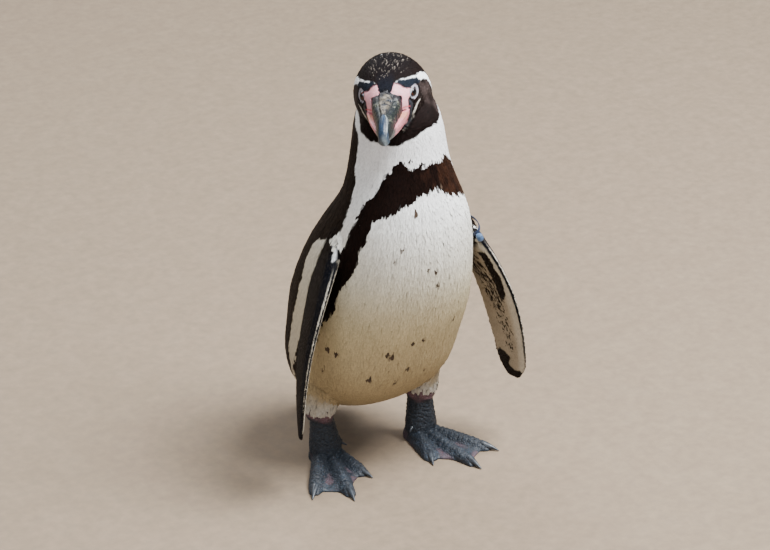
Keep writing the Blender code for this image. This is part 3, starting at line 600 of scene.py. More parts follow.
@dataclass
class Markings:
    """The colours that the skin and the coat share, worked out from places on the bird."""

    bird: BirdFrame
    blotch: float = 0.32  # how far blotches push an edge of the band, cm
    ragged: float = 0.14  # how far feather tips push any edge, cm

    def body_angle(self, points: np.ndarray) -> np.ndarray:
        """Degrees round the body from straight ahead, the bird's left positive."""
        height = np.clip(points[:, 2], BODY[0, 0], BODY[-1, 0])
        front, back = column(BODY, height, 1), column(BODY, height, 2)
        across = points[:, 0] / column(BODY, height, 3)
        ahead = -(points[:, 1] - (front + back) / 2) / ((back - front) / 2)
        return np.degrees(np.arctan2(across, ahead))

    def body(self, points: np.ndarray) -> np.ndarray:
        """Colours of the neck, trunk, tail and feathered legs.

        Args:
            points: places in the bird's frame, one row each.

        Returns:
            Linear colours, one row each.
        """
        height = points[:, 2]
        angle = self.body_angle(points)
        aside = np.abs(angle)
        fine = self.ragged * noise(points, 0.45, 1)
        rough = fine + self.blotch * noise(points, 1.3, 2)
        streak = noise(points * np.array((2.4, 2.4, 0.35)), 1.0, 3)
        tint = np.stack([column(BELLY_TINTS, height, index) for index in (1, 2, 3)], axis=1)
        colours = tint * (1.0 + 0.05 * streak + 0.05 * noise(points, 3.0, 4))[:, None]
        cream = 0.7 * smoothstep(78, 92, aside) * smoothstep(27, 25, height)
        colours = blended(colours, cream, HUES.cream)

        flat = np.stack((aside * DEGREE, height), axis=1)
        band = [(degrees * DEGREE, up) for degrees, up in BAND]
        loose = 1.0 + 1.1 * smoothstep(34.2, 35.5, height) * smoothstep(50, 20, aside)
        depth = inside_depth(flat, band) + (rough + 0.16 * noise(points, 0.24, 7)) * loose
        # Rust-brown streaks in the breast band, painted stronger towards the bird's left, its lit
        # side, as a highlight.
        rust_and_highlight = smoothstep(-0.1, 0.9, streak + 0.03 * (angle - 5)) * smoothstep(29.0, 31.5, height)
        rust_and_highlight = rust_and_highlight[:, None] * (np.array(HUES.rust) - HUES.band) * 0.7
        colours = blended(colours, soft(depth, 0.07), HUES.band + rust_and_highlight)

        for degrees, up, half in SPOTS:
            gap = np.hypot((angle - degrees) * DEGREE, (height - up) * 0.75) - 0.85 * half
            colours = blended(colours, soft(-gap - 1.2 * fine, 0.07), HUES.spot)

        edge = np.where(angle > 0, column(BACK_EDGE, height, 1), column(BACK_EDGE, height, 2))
        behind = (aside - edge) * DEGREE + fine + 0.4 * self.blotch * noise(points, 1.6, 5)
        face = (height - np.interp(angle, FACE_EDGE[:, 0], FACE_EDGE[:, 1])) + fine
        return layered(
            colours,
            (soft(behind, 0.08), toned(HUES.back, 0.1 * noise(points, 0.9, 6))),
            (soft(face, 0.06) * (behind < 0), HUES.dark),
        )

    def stripe_line(self, side: int) -> list:
        """The brow stripe of one side as a stroke in the bird's frame.

        Args:
            side: 1 for the bird's left, -1 for its right.

        Returns:
            Rows of a place and the half width there.
        """
        rows = np.array(BROW_STRIPE) * np.array((side, 1, 1, 1))
        matrix = np.array(self.bird.head())
        line = np.column_stack((rows[:, :3] @ matrix[:3, :3].T + matrix[:3, 3], rows[:, 3]))
        foot = []
        for degrees, up in STRIPE_FOOT[0 if side > 0 else 1]:
            turn = math.radians(degrees)
            front, back, half = (float(np.interp(up, BODY[:, 0], BODY[:, c])) for c in (1, 2, 3))
            foot.append((
                half * math.sin(turn), (front + back) / 2 - (back - front) / 2 * math.cos(turn),
                up, 0.55,
            ))
        return [*line.tolist(), *foot]

    def head(self, points: np.ndarray, colours: np.ndarray) -> tuple:
        """Lays the head's marks over the body's colours.

        Args:
            points: places in the bird's frame.
            colours: what the body's marks give there.

        Returns:
            The colours, and how bare of feathers each place is.
        """
        local = self.bird.to_head(points)
        aside = np.abs(local[:, 0])
        mirrored = np.column_stack((aside, local[:, 1:]))
        plane = np.column_stack((aside, local[:, 2]))
        behind, above = local[:, 1], local[:, 2]
        fine = 0.05 * noise(points, 0.22, 11)
        ragged = self.ragged * noise(points, 0.4, 12)

        dark = colours[:, 0] < DARK_BELOW
        patchy = noise(points * np.array((1, 1, 0.6)), 0.7, 14)
        cheek = smoothstep(0.1, -1.2, above) * smoothstep(1.6, 2.8, behind)
        cheek *= smoothstep(6.5, 4.5, behind) * smoothstep(-0.5, 0.6, patchy) * dark
        front = smoothstep(2.6, 0.8, behind) * smoothstep(1.1, 0.5, aside)
        colours = layered(
            colours,
            (cheek, HUES.cheek),
            (0.8 * smoothstep(0.3, 2.0, above) * dark, HUES.crown),
            # The forehead's blue is a painted sheen.
            (0.9 * front * smoothstep(-0.6, 0.0, above), HUES.forehead),
        )
        for side in (1, -1):
            depth = stroke_depth(points, self.stripe_line(side)) + 0.5 * ragged
            on_side = local[:, 0] * side > 0
            colours = blended(colours, smoothstep(-0.05, 0.04, depth) * on_side, HUES.white)
        near = (behind < 3.3) & (behind > -1.0)
        jaw = np.column_stack((aside, above + FACE_SLOPE * behind, np.zeros(len(points))))
        pink = soft(inside_depth(plane, PINK_PATCH) + 0.6 * fine, 0.03)
        pink *= (behind < 1.6) & (behind > -2.0)
        black = soft(stroke_depth(jaw, JAW_BLACK) + 0.6 * fine, 0.03) * near
        gape = smoothstep(-0.03, 0.02, stroke_depth(mirrored, GAPE_LINE))
        colours = layered(
            colours,
            (soft(inside_depth(plane, BLUE_PATCH) + fine, 0.04) * near, HUES.blue_black),
            (soft(stroke_depth(jaw, JAW_LINE) + 0.5 * fine, 0.03) * near, HUES.jaw_line),
            (pink, toned(HUES.pink, 0.12 * noise(points, 0.35, 13))),
            (black, HUES.jaw_black),
            (gape, HUES.deep_pink),
        )
        return colours, np.maximum(np.maximum(pink, gape), black)

    def flipper(self, region: Region, points: np.ndarray) -> np.ndarray:
        """Colours of one flipper, by the side of the blade that a place is on.

        Args:
            region: the flipper.
            points: places in the bird's frame, one row each.

        Returns:
            Linear colours, one row each.
        """
        share, chord, across, _, _ = FLIPPERS[region].read(points)
        flat = np.column_stack((share, chord)) * BLADE_SCALE
        rough = 0.1 * noise(points, 0.3, 21) + 0.12 * noise(points, 0.8, 22)

        def marked(outline: tuple) -> np.ndarray:
            """How far places lie inside a mark of the blade with ragged edges."""
            return inside_depth(flat, np.array(outline) * BLADE_SCALE) + rough

        streaks = noise(points * np.array((1, 1, 0.25)), 0.4, 24)
        dots = smoothstep(0.25, 0.5, noise(points, 0.28, 25)) * smoothstep(-0.86, -0.95, chord)
        outer = layered(
            toned(HUES.blade_outer, 0.25 * noise(points, 0.5, 23), 0.2 * streaks),
            # Along the leading edge, darker with a painted blue sheen.
            (smoothstep(0.55, 0.68, chord + 0.3 * rough), HUES.blade_lead),
            (0.8 * dots, HUES.cream),
            (smoothstep(0.2, 0.08, share), HUES.back),
            (soft(marked(BLADE_PRONG), 0.06), HUES.white),
        )

        stretched = np.column_stack((
            share * 20.0 * 1.3 + chord * 2.0, (chord * 3.0 - share * 9.0) * 3.4, across
        ))
        off = np.abs(chord - np.interp(share, DASHES_SHARE, (-0.3, 0.15)))
        wide = np.interp(share, DASHES_SHARE, (0.95, 0.6))
        crowd = smoothstep(0.16, 0.26, share) * smoothstep(0.94, 0.8, share)
        crowd *= smoothstep(wide, 0.35 * wide, off) * (1.0 - 0.3 * smoothstep(0.45, 0.7, share))
        dash = noise(stretched, 0.4, 27) * 0.5 + 0.66 * crowd + 0.14
        base = smoothstep(0.29, 0.19, share + 0.04 * chord + 0.05 * noise(points, 0.6, 28))
        inner = layered(
            toned(HUES.blade_inner, 0.08 * noise(points, 1.2, 26)),
            (0.8 * smoothstep(0.45, 0.8, chord), HUES.cream),
            (smoothstep(0.69, 0.75, dash), HUES.dark),
            (soft(marked(BLADE_BAR), 0.05), HUES.dark),
            (soft(marked(BLADE_TIP), 0.05), HUES.dark),
            (base * (1.0 - 0.9 * smoothstep(0.35, 0.55, noise(points, 0.45, 29))), HUES.dark),
        )

        rim = smoothstep(0.925, 0.95, chord) * smoothstep(0.99, 0.95, share)
        under = smoothstep(0.9, 0.93, chord) * smoothstep(0.1, 0.2, share)
        return layered(
            np.where((across > 0)[:, None], outer, inner),
            (rim * (across > 0) * smoothstep(0.18, 0.3, share), HUES.cream),
            # Under the leading edge, the same darker colour with its painted blue sheen.
            (under * (across <= 0), HUES.blade_lead),
        )

    def foot(self, points: np.ndarray, normals: np.ndarray) -> np.ndarray:
        """Colours of the bare shanks, toes and webs.

        Args:
            points: places in the bird's frame, one row each.
            normals: outward directions there.

        Returns:
            Linear colours, one row each.
        """
        colours = np.broadcast_to(HUES.foot, points.shape).copy()
        worn = smoothstep(0.1, 0.8, noise(points, 0.5, 31) + 0.6 * noise(points, 1.7, 32))
        # Worn patches, painted stronger where the skin faces up, as a highlight from above.
        colours = blended(colours, worn * 0.5 * np.clip(normals[:, 2], 0.15, 1), HUES.foot_worn)
        for pose in FEET:
            mine = points[:, 0] * pose.side > 0
            gap = pose.read(points)[0]
            web = smoothstep(1.0, 1.35, gap) * smoothstep(1.2, 0.7, points[:, 2]) * mine
            flush = smoothstep(0.0, 0.5, noise(points, 0.8, 33) + 0.25)
            colours = blended(colours, web * flush * 0.3, HUES.foot_flush)
        top = 0.75 * smoothstep(4.7, 5.3, points[:, 2] + 0.5 * noise(points, 0.9, 34))
        return blended(colours, top, toned(HUES.foot_flush, 0.4 * noise(points, 0.4, 35)))

    def read(self, points: np.ndarray, normals: np.ndarray, regions: np.ndarray) -> tuple:
        """Colours and bareness of places on the bird.

        Args:
            points: places in the bird's frame.
            normals: outward directions there.
            regions: values of Region.

        Returns:
            Linear colours, one row each, and bareness from 0 to 1.
        """
        colours = self.body(points)
        bare = np.zeros(len(points))
        high = points[:, 2] > HEAD_FROM
        colours[high], bare[high] = self.head(points[high], colours[high])
        for region in FLIPPERS:
            mine = regions == region.value
            colours[mine] = self.flipper(region, points[mine])
        mine = regions == Region.FOOT.value
        colours[mine] = self.foot(points[mine], normals[mine])
        bare[mine] = 1.0
        mine = regions == Region.LEG.value
        low = smoothstep(8.6, 6.2, points[mine, 2] + 0.8 * noise(points[mine], 0.9, 41))
        colours[mine] = blended(colours[mine], low, HUES.cuff)
        mine = regions == Region.TAIL.value
        upper = normals[mine][:, 1] > -0.2
        colours[mine] = np.where(upper[:, None], HUES.back, HUES.cream)
        return np.clip(colours, 0.0, 1.0), bare


# ---------------------------------------------------------------- making meshes


def alone(*objs: bpy.types.Object) -> None:
    """Selects only these objects and makes the first one active.

    Args:
        objs: the objects.
    """
    if bpy.context.object and bpy.context.object.mode != "OBJECT":
        bpy.ops.object.mode_set(mode="OBJECT")
    bpy.ops.object.select_all(action="DESELECT")
    for obj in objs:
        obj.select_set(True)
    bpy.context.view_layer.objects.active = objs[0]


def modified(obj: bpy.types.Object, kind: str, **settings: object) -> None:
    """Adds a modifier with its settings and applies it."""
    alone(obj)
    modifier = obj.modifiers.new(kind.lower(), kind)
    for name, value in settings.items():
        setattr(modifier, name, value)
    bpy.ops.object.modifier_apply(modifier=modifier.name)


def places_of(mesh: bpy.types.Mesh) -> np.ndarray:
    """The mesh's vertices, one row each."""
    flat = np.empty(len(mesh.vertices) * 3)
    mesh.vertices.foreach_get("co", flat)
    return flat.reshape(-1, 3)


def normals_of(mesh: bpy.types.Mesh) -> np.ndarray:
    """The vertex normals of a mesh without custom ones."""
    flat = np.empty(len(mesh.vertices) * 3)
    mesh.vertex_normals.foreach_get("vector", flat)
    return flat.reshape(-1, 3)


def move_to(mesh: bpy.types.Mesh, places: np.ndarray) -> None:
    """Gives every vertex a new place."""
    mesh.vertices.foreach_set("co", np.ascontiguousarray(places, float).ravel())
    mesh.update()


def painted(mesh: bpy.types.Mesh, colours: np.ndarray) -> None:
    """Writes one colour for each vertex into the mesh's paint attribute."""
    layer = mesh.color_attributes.new(PAINT, "FLOAT_COLOR", "POINT")
    layer.data.foreach_set("color", np.column_stack((colours, np.ones(len(colours)))).ravel())


def mended(obj: bpy.types.Object, outwards: bool = True, quads: bool = False) -> None:
    """Merges a mesh's doubles.

    Args:
        obj: the piece.
        outwards: whether its faces are turned outwards too.
        quads: whether its triangles are paired into quads too.
    """
    alone(obj)
    bpy.ops.object.mode_set(mode="EDIT")
    bpy.ops.mesh.select_all(action="SELECT")
    bpy.ops.mesh.remove_doubles(threshold=MERGE)
    if outwards:
        bpy.ops.mesh.normals_make_consistent(inside=False)
    if quads:
        bpy.ops.mesh.tris_convert_to_quads()
    bpy.ops.object.mode_set(mode="OBJECT")


def shaped_grid(name: str, around: int, along: int, place: object) -> bpy.types.Object:
    """Makes a piece from a grid that is wrapped into its shape and closed where it meets.

    Args:
        name: the piece's name.
        around: cells across the grid.
        along: cells up the grid.
        place: gives row-frame places for arrays of the two shares of the grid.

    Returns:
        The piece, its faces outwards.
    """
    bpy.ops.object.select_all(action="DESELECT")
    bpy.ops.mesh.primitive_grid_add(x_subdivisions=around, y_subdivisions=along, size=1.0)
    obj = bpy.context.object
    obj.name = obj.data.name = name
    flat = places_of(obj.data) + 0.5
    move_to(obj.data, place(flat[:, 0], flat[:, 1]))
    mended(obj)
    bpy.ops.object.shade_smooth()
    return obj


def joined(name: str, pieces: list) -> bpy.types.Object:
    """Joins pieces into one with a name.

    Args:
        name: the new piece's name.
        pieces: the objects to join.

    Returns:
        The one piece.
    """
    alone(*pieces)
    if len(pieces) > 1:
        bpy.ops.object.join()
    obj = bpy.context.object
    obj.name = obj.data.name = name
    return obj


def copies_of(names: list) -> list:
    """Copies of CAD nodes, each with its own mesh."""
    copies = [bpy.data.objects.new(name, frame["nodes"][name].data.copy()) for name in names]
    for copy in copies:
        bpy.context.scene.collection.objects.link(copy)
    return copies


def mapped(mesh: bpy.types.Mesh, name: str, places: np.ndarray, triangles: np.ndarray) -> None:
    """Adds a UV map from one place for each vertex."""
    flat = places.reshape(-1, 2)[triangles.ravel()].astype(np.float32)
    mesh.uv_layers.new(name=name).data.foreach_set("uv", flat.ravel())


def mesh_of(name: str, vertices: np.ndarray, triangles: np.ndarray) -> bpy.types.Object:
    """A linked object from arrays of vertices and triangles, shaded smooth.

    Args:
        name: the piece's name.
        vertices: row-frame places.
        triangles: three vertices' numbers in a row.

    Returns:
        The object.
    """
    mesh = bpy.data.meshes.new(name)
    mesh.vertices.add(len(vertices))
    mesh.vertices.foreach_set("co", vertices.astype(np.float32).ravel())
    mesh.loops.add(triangles.size)
    mesh.loops.foreach_set("vertex_index", triangles.astype(np.int32).ravel())
    mesh.polygons.add(len(triangles))
    mesh.polygons.foreach_set("loop_start", np.arange(0, triangles.size, 3, dtype=np.int32))
    mesh.polygons.foreach_set("use_smooth", np.ones(len(triangles), bool))
    mesh.update(calc_edges=True)
    obj = bpy.data.objects.new(name, mesh)
    bpy.context.scene.collection.objects.link(obj)
    return obj


def node_tree_of(names: list) -> tuple:
    """A search tree over CAD nodes, and the region of each of its triangles.

    Args:
        names: the nodes.

    Returns:
        The tree, and a value of Region for each triangle.
    """
    vertices, faces, regions = [], [], []
    for name in names:
        mesh = frame["nodes"][name].data
        base = len(vertices)
        vertices += [vertex.co.copy() for vertex in mesh.vertices]
        faces += [[base + index for index in face.vertices] for face in mesh.polygons]
        regions += [FLESH[name].value] * len(mesh.polygons)
    return BVHTree.FromPolygons(vertices, faces), np.array(regions)


# ---------------------------------------------------------------- skin


@dataclass
class Eyes:
    """Eyeballs, and the bare lids that close round them."""

    bird: BirdFrame
    opening: tuple = (2.55, 1.70, -0.72)  # middle of the left eye's opening, in the head's frame
    long_way: tuple = (0.44, 0.79, 0.42)  # along the opening, backwards
    outward: tuple = (0.86, -0.46, 0.2)
    radius: float = 0.62
    proud: float = 0.07  # how far the ball stands out of the opening's plane
    half_long: float = 0.47
    half_short: float = 0.27
    ring_long: float = 0.84
    ring_short: float = 0.50
    overlap: float = 1.08  # how far the lids' outer edge lies over the skin, as a share
    puff: float = 0.05  # how far the lids swell between the opening and their outer edge
    sink: float = 0.0045  # how far the skin under the lids is moved inwards, in metres
    bulge: float = 0.06  # how far the clear front stands out over the iris
    around: int = 72
    along: int = 18

    def axes(self, side: int) -> tuple:
        """Middle of the opening and its long, short and outward directions, in the row frame.

        Args:
            side: 1 for the bird's left, -1 for its right.

        Returns:
            The middle in metres, then three directions.
        """
        turned = np.array(self.bird.head().to_3x3())
        mirror = np.array((side, 1, 1))
        outward = unit((np.array(self.outward) * mirror)[None])[0]
        long_way = on_plane((np.array(self.long_way) * mirror)[None], outward[None])[0]
        short = np.cross(outward, long_way) * side
        middle = self.bird.head_to_row((np.array(self.opening) * mirror)[None])[0]
        return middle, turned @ long_way, turned @ short, turned @ outward

    def flat(self, side: int, points: np.ndarray) -> tuple:
        """Row-frame places as (long, short, outward) cm from the opening's middle."""
        middle, long_way, short, outward = self.axes(side)
        offset = (points - middle) / CM
        return offset @ long_way, offset @ short, offset @ outward

    def reach(self, side: int, points: np.ndarray) -> np.ndarray:
        """How far places are from the eye, 1 at the lids' outer edge."""
        x, y, z = self.flat(side, points)
        return np.where(np.abs(z) < 1.1, np.hypot(x / self.ring_long, y / self.ring_short), 9.0)

    def sunk(self, points: np.ndarray) -> np.ndarray:
        """Row-frame places with those under the lids moved inwards."""
        for side in (1, -1):
            outward = self.axes(side)[3]
            depth = self.sink * smoothstep(1.02, 0.72, self.reach(side, points))
            points = points - depth[:, None] * outward
        return points

    def covers(self, points: np.ndarray) -> np.ndarray:
        """How fully the lids cover row-frame places, 0 to 1."""
        reach = np.minimum(self.reach(1, points), self.reach(-1, points))
        return smoothstep(1.12, 1.0, reach)

    def lid(self, side: int, skin: BVHTree) -> bpy.types.Object:
        """Both lids of one eye as a ring whose inner edge tucks in behind the ball's front.

        Args:
            side: 1 for the bird's left, -1 for its right.
            skin: a search tree over the skin, which the outer edge meets.

        Returns:
            The lids.
        """
        middle, long_way, short, outward = self.axes(side)

        def place(turn_share: np.ndarray, ring_share: np.ndarray) -> np.ndarray:
            """Where a share of the turn and of the way outwards lies.

            Args:
                turn_share: shares of the turn round the eye.
                ring_share: shares of the way outwards.

            Returns:
                Row-frame places.
            """
            turn = 2 * math.pi * turn_share
            tuck = smoothstep(0.0, 0.25, ring_share)
            out = np.clip((ring_share - 0.25) / 0.75, 0, 1)
            long_half, short_half = (
                half * (0.8 + 0.2 * tuck) + (ring * self.overlap - half) * out
                for half, ring in (
                    (self.half_long, self.ring_long), (self.half_short, self.ring_short)
                )
            )
            pointed = 1.0 - 0.12 * (1 - out) * np.abs(np.cos(turn)) ** 3
            along, across = np.cos(turn) * long_half, np.sin(turn) * short_half * pointed
            away = np.hypot(along, across)
            ball = np.sqrt(np.clip(self.radius**2 - away**2, 0.0, None)) - self.radius + self.proud
            margin = np.maximum(ball + 0.03, -0.16)
            ground = np.zeros(len(turn))
            for index, angle in enumerate(turn):
                spot = middle + CM * 1.1 * (
                    math.cos(angle) * self.ring_long * long_way
                    + math.sin(angle) * self.ring_short * short
                )
                hit, _, _, _ = skin.ray_cast(Vector(spot + outward * 0.012), Vector(-outward))
                ground[index] = (np.array(hit) - spot) @ outward / CM if hit else 0.0
            height = margin + (ground - 0.02 - margin) * smoothstep(0.0, 1.0, out)
            height += self.puff * np.sin(math.pi * np.clip(out * 1.15, 0, 1)) ** 0.8
            folds = 0.014 * np.sin(out * 17.0) * smoothstep(0.1, 0.3, out)
            height += folds * smoothstep(1.0, 0.7, out)
            height -= 0.14 * (1 - tuck)
            flat = middle + CM * (along[:, None] * long_way + across[:, None] * short)
            return flat + CM * height[:, None] * outward

        return shaped_grid("lid", self.around, self.along, place)

    def ball(self, side: int) -> bpy.types.Object:
        """One eyeball with a clear bulge over the iris.

        Args:
            side: 1 for the bird's left, -1 for its right.

        Returns:
            The eyeball.
        """
        middle, long_way, short, outward = self.axes(side)
        centre = middle - outward * (self.radius - self.proud) * CM
        bpy.ops.object.select_all(action="DESELECT")
        bpy.ops.mesh.primitive_uv_sphere_add(segments=64, ring_count=40, radius=self.radius * CM)
        obj = bpy.context.object
        obj.name = obj.data.name = "eyeball_left" if side > 0 else "eyeball_right"
        turned = np.stack((long_way, short, outward), axis=1)
        local = places_of(obj.data)
        local[:, 2] += self.bulge * CM * smoothstep(0.7, 1.0, local[:, 2] / (self.radius * CM))
        move_to(obj.data, local @ turned.T + centre)
        painted(obj.data, np.repeat(np.clip(local[:, 2:] / (self.radius * CM), 0, 1), 3, axis=1))
        mended(obj)
        bpy.ops.object.shade_smooth()
        return obj


@dataclass
class Skin:
    """One skin over the whole bird, which lies under the flesh nodes by the coat's depth."""

    bird: BirdFrame
    marks: Markings
    eyes: Eyes
    voxel: float = 0.001
    closing: float = 0.0003  # the nodes grow by this to meet
    body_depth: float = 0.0023
    leg_depth: float = 0.0018
    bare_to: float = 6.3  # height up to which the shanks have no feathers, cm
    tail_depth: float = 0.0012
    flipper_depth: float = 0.0008
    face_depth: float = 0.0008
    nape_depth: float = 0.0021
    covered_share: float = 0.12  # share of the covered faces that is kept
    face_to: float = 2.6  # the bare face keeps its fine mesh up to here behind the bill's base, cm
    face_above: float = 38.0  # and above this height, cm
    smoothing: int = 14  # rounds of smoothing where the nodes meet
    shadow: float = 0.8  # how light the skin under the coat is against the coat
    obj: bpy.types.Object = None
    tree: BVHTree = None
    places: np.ndarray = None
    normals: np.ndarray = None
    triangles: np.ndarray = None
    regions: np.ndarray = None
    depth: np.ndarray = None
    bare: np.ndarray = None

    def flesh(self) -> bpy.types.Object:
        """Copies of the flesh nodes, merged and closed into one skin.

        Returns:
            The skin before it is smoothed.
        """
        obj = joined("skin", copies_of(list(FLESH)))
        mended(obj, outwards=False)
        modified(obj, "DISPLACE", strength=self.closing, mid_level=0.0)
        modified(obj, "REMESH", mode="VOXEL", voxel_size=self.voxel)
        bpy.ops.object.mode_set(mode="EDIT")
        bpy.ops.mesh.select_all(action="DESELECT")
        bpy.ops.object.mode_set(mode="OBJECT")
        top = int(np.argmax(places_of(obj.data)[:, 2]))
        obj.data.vertices[top].select = True
        bpy.ops.object.mode_set(mode="EDIT")
        bpy.ops.mesh.select_linked()
        bpy.ops.mesh.select_all(action="INVERT")
        bpy.ops.mesh.delete(type="VERT")
        bpy.ops.object.mode_set(mode="OBJECT")
        return obj

    def regions_of(self, places: np.ndarray) -> np.ndarray:
        """The region whose node lies nearest each place, the bare shanks as part of the feet."""
        tree, owners = node_tree_of(list(FLESH))
        regions = np.array([owners[tree.find_nearest(Vector(place))[2]] for place in places])
        bare = (regions == Region.LEG.value) & (places[:, 2] < self.bare_to * CM)
        return np.where(bare, Region.FOOT.value, regions)

    def weigh(self, name: str, weights: np.ndarray) -> None:
        """Writes a vertex group from an array of weights."""
        group = self.obj.vertex_groups.new(name=name)
        levels = np.round(weights * 8) / 8
        for level in np.unique(levels):
            members = np.nonzero(levels == level)[0]
            group.add(members.tolist(), float(level), "REPLACE")

    def relaxed(self, values: np.ndarray, rounds: int) -> np.ndarray:
        """Values averaged with their neighbours' along the skin's edges.

        Args:
            values: one value for each vertex.
            rounds: how often they are averaged.

        Returns:
            The averaged values.
        """
        edges = np.empty(len(self.obj.data.edges) * 2, np.int64)
        self.obj.data.edges.foreach_get("vertices", edges)
        first, second = edges.reshape(-1, 2).T
        counts = np.bincount(edges, minlength=len(values))
        for _ in range(rounds):
            total = np.bincount(first, values[second], len(values))
            total += np.bincount(second, values[first], len(values))
            values = 0.5 * values + 0.5 * total / np.maximum(counts, 1)
        return values

    def coat_depth(self, points: np.ndarray, bare: np.ndarray) -> np.ndarray:
        """How far the skin lies under the outline at each place, in metres.

        Args:
            points: places in the bird's frame, one row each.
            bare: how bare of feathers each place is.

        Returns:
            A depth for each place.
        """
        behind = self.bird.to_head(points)[:, 1]
        depth = np.full(len(points), self.body_depth)
        deepens = smoothstep(1.0, 6.5, behind)
        of_head = self.face_depth + (self.nape_depth - self.face_depth) * deepens
        for region, value in (
            (Region.HEAD, of_head),
            (Region.LEG, self.leg_depth),
            (Region.TAIL, self.tail_depth),
            (Region.FLIPPER_LEFT, self.flipper_depth),
            (Region.FLIPPER_RIGHT, self.flipper_depth),
        ):
            depth = np.where(self.regions == region.value, value, depth)
        return self.relaxed(depth * (1.0 - bare), 6)

    def foot_folds(self, points: np.ndarray, normals: np.ndarray) -> np.ndarray:
        """Creases of the shanks, knuckles and webs, in centimetres outwards.

        Args:
            points: places in the bird's frame, one row each.
            normals: outward directions there.

        Returns:
            How far each place is raised.
        """
        folds = np.zeros(len(points))
        for pose in FEET:
            mine = (self.regions == Region.FOOT.value) & (points[:, 0] * pose.side > 0)
            spot = points[mine]
            gap, share, _ = pose.read(spot)
            length = 7.0 * share
            wander = 0.6 * noise(spot, 0.9, 41)
            knuckle = np.abs(np.sin(math.pi * (length / 0.62 + wander * 0.5))) ** 0.6 - 0.7
            on_toe = smoothstep(1.15, 0.7, gap) * smoothstep(0.02, 0.12, share)
            on_toe *= smoothstep(0.3, 0.7, spot[:, 2])
            shank = np.abs(np.sin(math.pi * (spot[:, 2] / 0.5 + 2.2 * wander))) ** 0.7 - 0.6
            on_shank = smoothstep(1.3, 2.4, spot[:, 2])
            radial = np.sin(18.0 * np.arctan2(*(pose.to_foot(spot)[:, :2] + 1e-6).T) + 3 * wander)
            on_web = smoothstep(0.95, 1.3, gap) * (1 - on_shank)
            folds[mine] = (
                0.075 * knuckle * on_toe
                + 0.07 * shank * on_shank * (1.0 + 0.8 * noise(spot, 0.7, 43))
                + 0.03 * radial * on_web
                + 0.04 * noise(spot, 0.3, 42) * np.clip(normals[mine][:, 2] + 0.9, 0, 1)
            )
            folds[mine] *= smoothstep(0.02, 0.25, spot[:, 2])
        return folds

    def nostrils(self, points: np.ndarray) -> np.ndarray:
        """How far the nostril slits are pressed in, in centimetres."""
        local = self.bird.to_head(points)
        mirrored = np.column_stack((np.abs(local[:, 0]), local[:, 1:]))
        slit = stroke_depth(mirrored, [(0.62, 0.15, 0.2, 0.05), (0.78, 0.3, 0.02, 0.06)])
        return 0.12 * smoothstep(-0.04, 0.06, slit)

    def behind_bill(self, places: np.ndarray) -> np.ndarray:
        """Row-frame places with those within the bill's base drawn back behind it.

        Args:
            places: row-frame places.

        Returns:
            The places, moved.
        """
        local = self.bird.to_head(self.bird.to_bird(places))
        plane = np.column_stack((np.abs(local[:, 0]), local[:, 2]))
        near = (local[:, 1] < 1.2) & (local[:, 1] > -1.5)
        back = 0.7 * smoothstep(-0.04, 0.12, inside_depth(plane, BILL_BASE)) * near
        local[:, 1] = np.where(near, local[:, 1] + back, local[:, 1])
        return self.bird.head_to_row(local)

    def build(self) -> None:
        """Makes the skin and sinks it by the coat's depth."""
        self.obj = self.flesh()
        self.regions = self.regions_of(places_of(self.obj.data))
        LOG.info("flesh closed with %d vertices", len(self.regions))
        foot = self.regions == Region.FOOT.value
        blade = np.isin(self.regions, [region.value for region in FLIPPERS])
        self.weigh("soft", np.where(foot, 0.25, np.where(blade, 0.4, 1.0)))
        modified(
            self.obj, "SMOOTH", factor=0.5, iterations=self.smoothing, vertex_group="soft"
        )
        points = self.bird.to_bird(places_of(self.obj.data))
        face = self.bird.to_head(points)[:, 1] < self.face_to
        face &= points[:, 2] > self.face_above
        face |= self.regions == Region.FOOT.value
        self.weigh("covered", np.where(face, 0.0, 1.0))
        ratio = self.covered_share + (1 - self.covered_share) * face.mean()
        modified(self.obj, "DECIMATE", ratio=ratio, vertex_group="covered")
        mesh = self.obj.data
        self.regions = self.regions_of(places_of(mesh))
        points, normals = self.bird.to_bird(places_of(mesh)), normals_of(mesh)
        _, bare = self.marks.read(points, normals, self.regions)
        bare = np.maximum(bare, self.eyes.covers(places_of(mesh)))
        self.depth = self.coat_depth(points, bare)
        inwards = self.depth - CM * self.foot_folds(points, normals)
        inwards += CM * self.nostrils(points)
        sunk = self.eyes.sunk(places_of(mesh) - normals * inwards[:, None])
        move_to(mesh, self.behind_bill(sunk))
        self.bare = bare
        self.places, self.normals = places_of(mesh), normals_of(mesh)
        mesh.calc_loop_triangles()
        self.triangles = np.empty(len(mesh.loop_triangles) * 3, np.int64)
        mesh.loop_triangles.foreach_get("vertices", self.triangles)
        self.triangles = self.triangles.reshape(-1, 3)
        self.tree = BVHTree.FromPolygons(self.places.tolist(), self.triangles.tolist())
        LOG.info("skin of %d triangles", len(self.triangles))

    def areas(self) -> np.ndarray:
        """The area of each triangle, in square metres."""
        corners = self.places[self.triangles]
        edges = np.cross(corners[:, 1] - corners[:, 0], corners[:, 2] - corners[:, 0])
        return np.linalg.norm(edges, axis=1) / 2

    def scattered(self, weight: np.ndarray, count: int, random: np.random.Generator) -> tuple:
        """Draws places on the skin.

        Args:
            weight: how likely each triangle is.
            count: how many places are drawn.
            random: the source of the draws.

        Returns:
            Each place's triangle, its shares of the corners, the place and the normal there.
        """
        chosen = random.choice(len(weight), size=count, p=weight / weight.sum())
        share = random.random((count, 2))
        over = share.sum(axis=1) > 1
        share[over] = 1 - share[over]
        part = np.column_stack((1 - share.sum(axis=1), share))
        index = self.triangles[chosen]
        places = np.einsum("ij,ijk->ik", part, self.places[index])
        return chosen, part, places, unit(np.einsum("ij,ijk->ik", part, self.normals[index]))

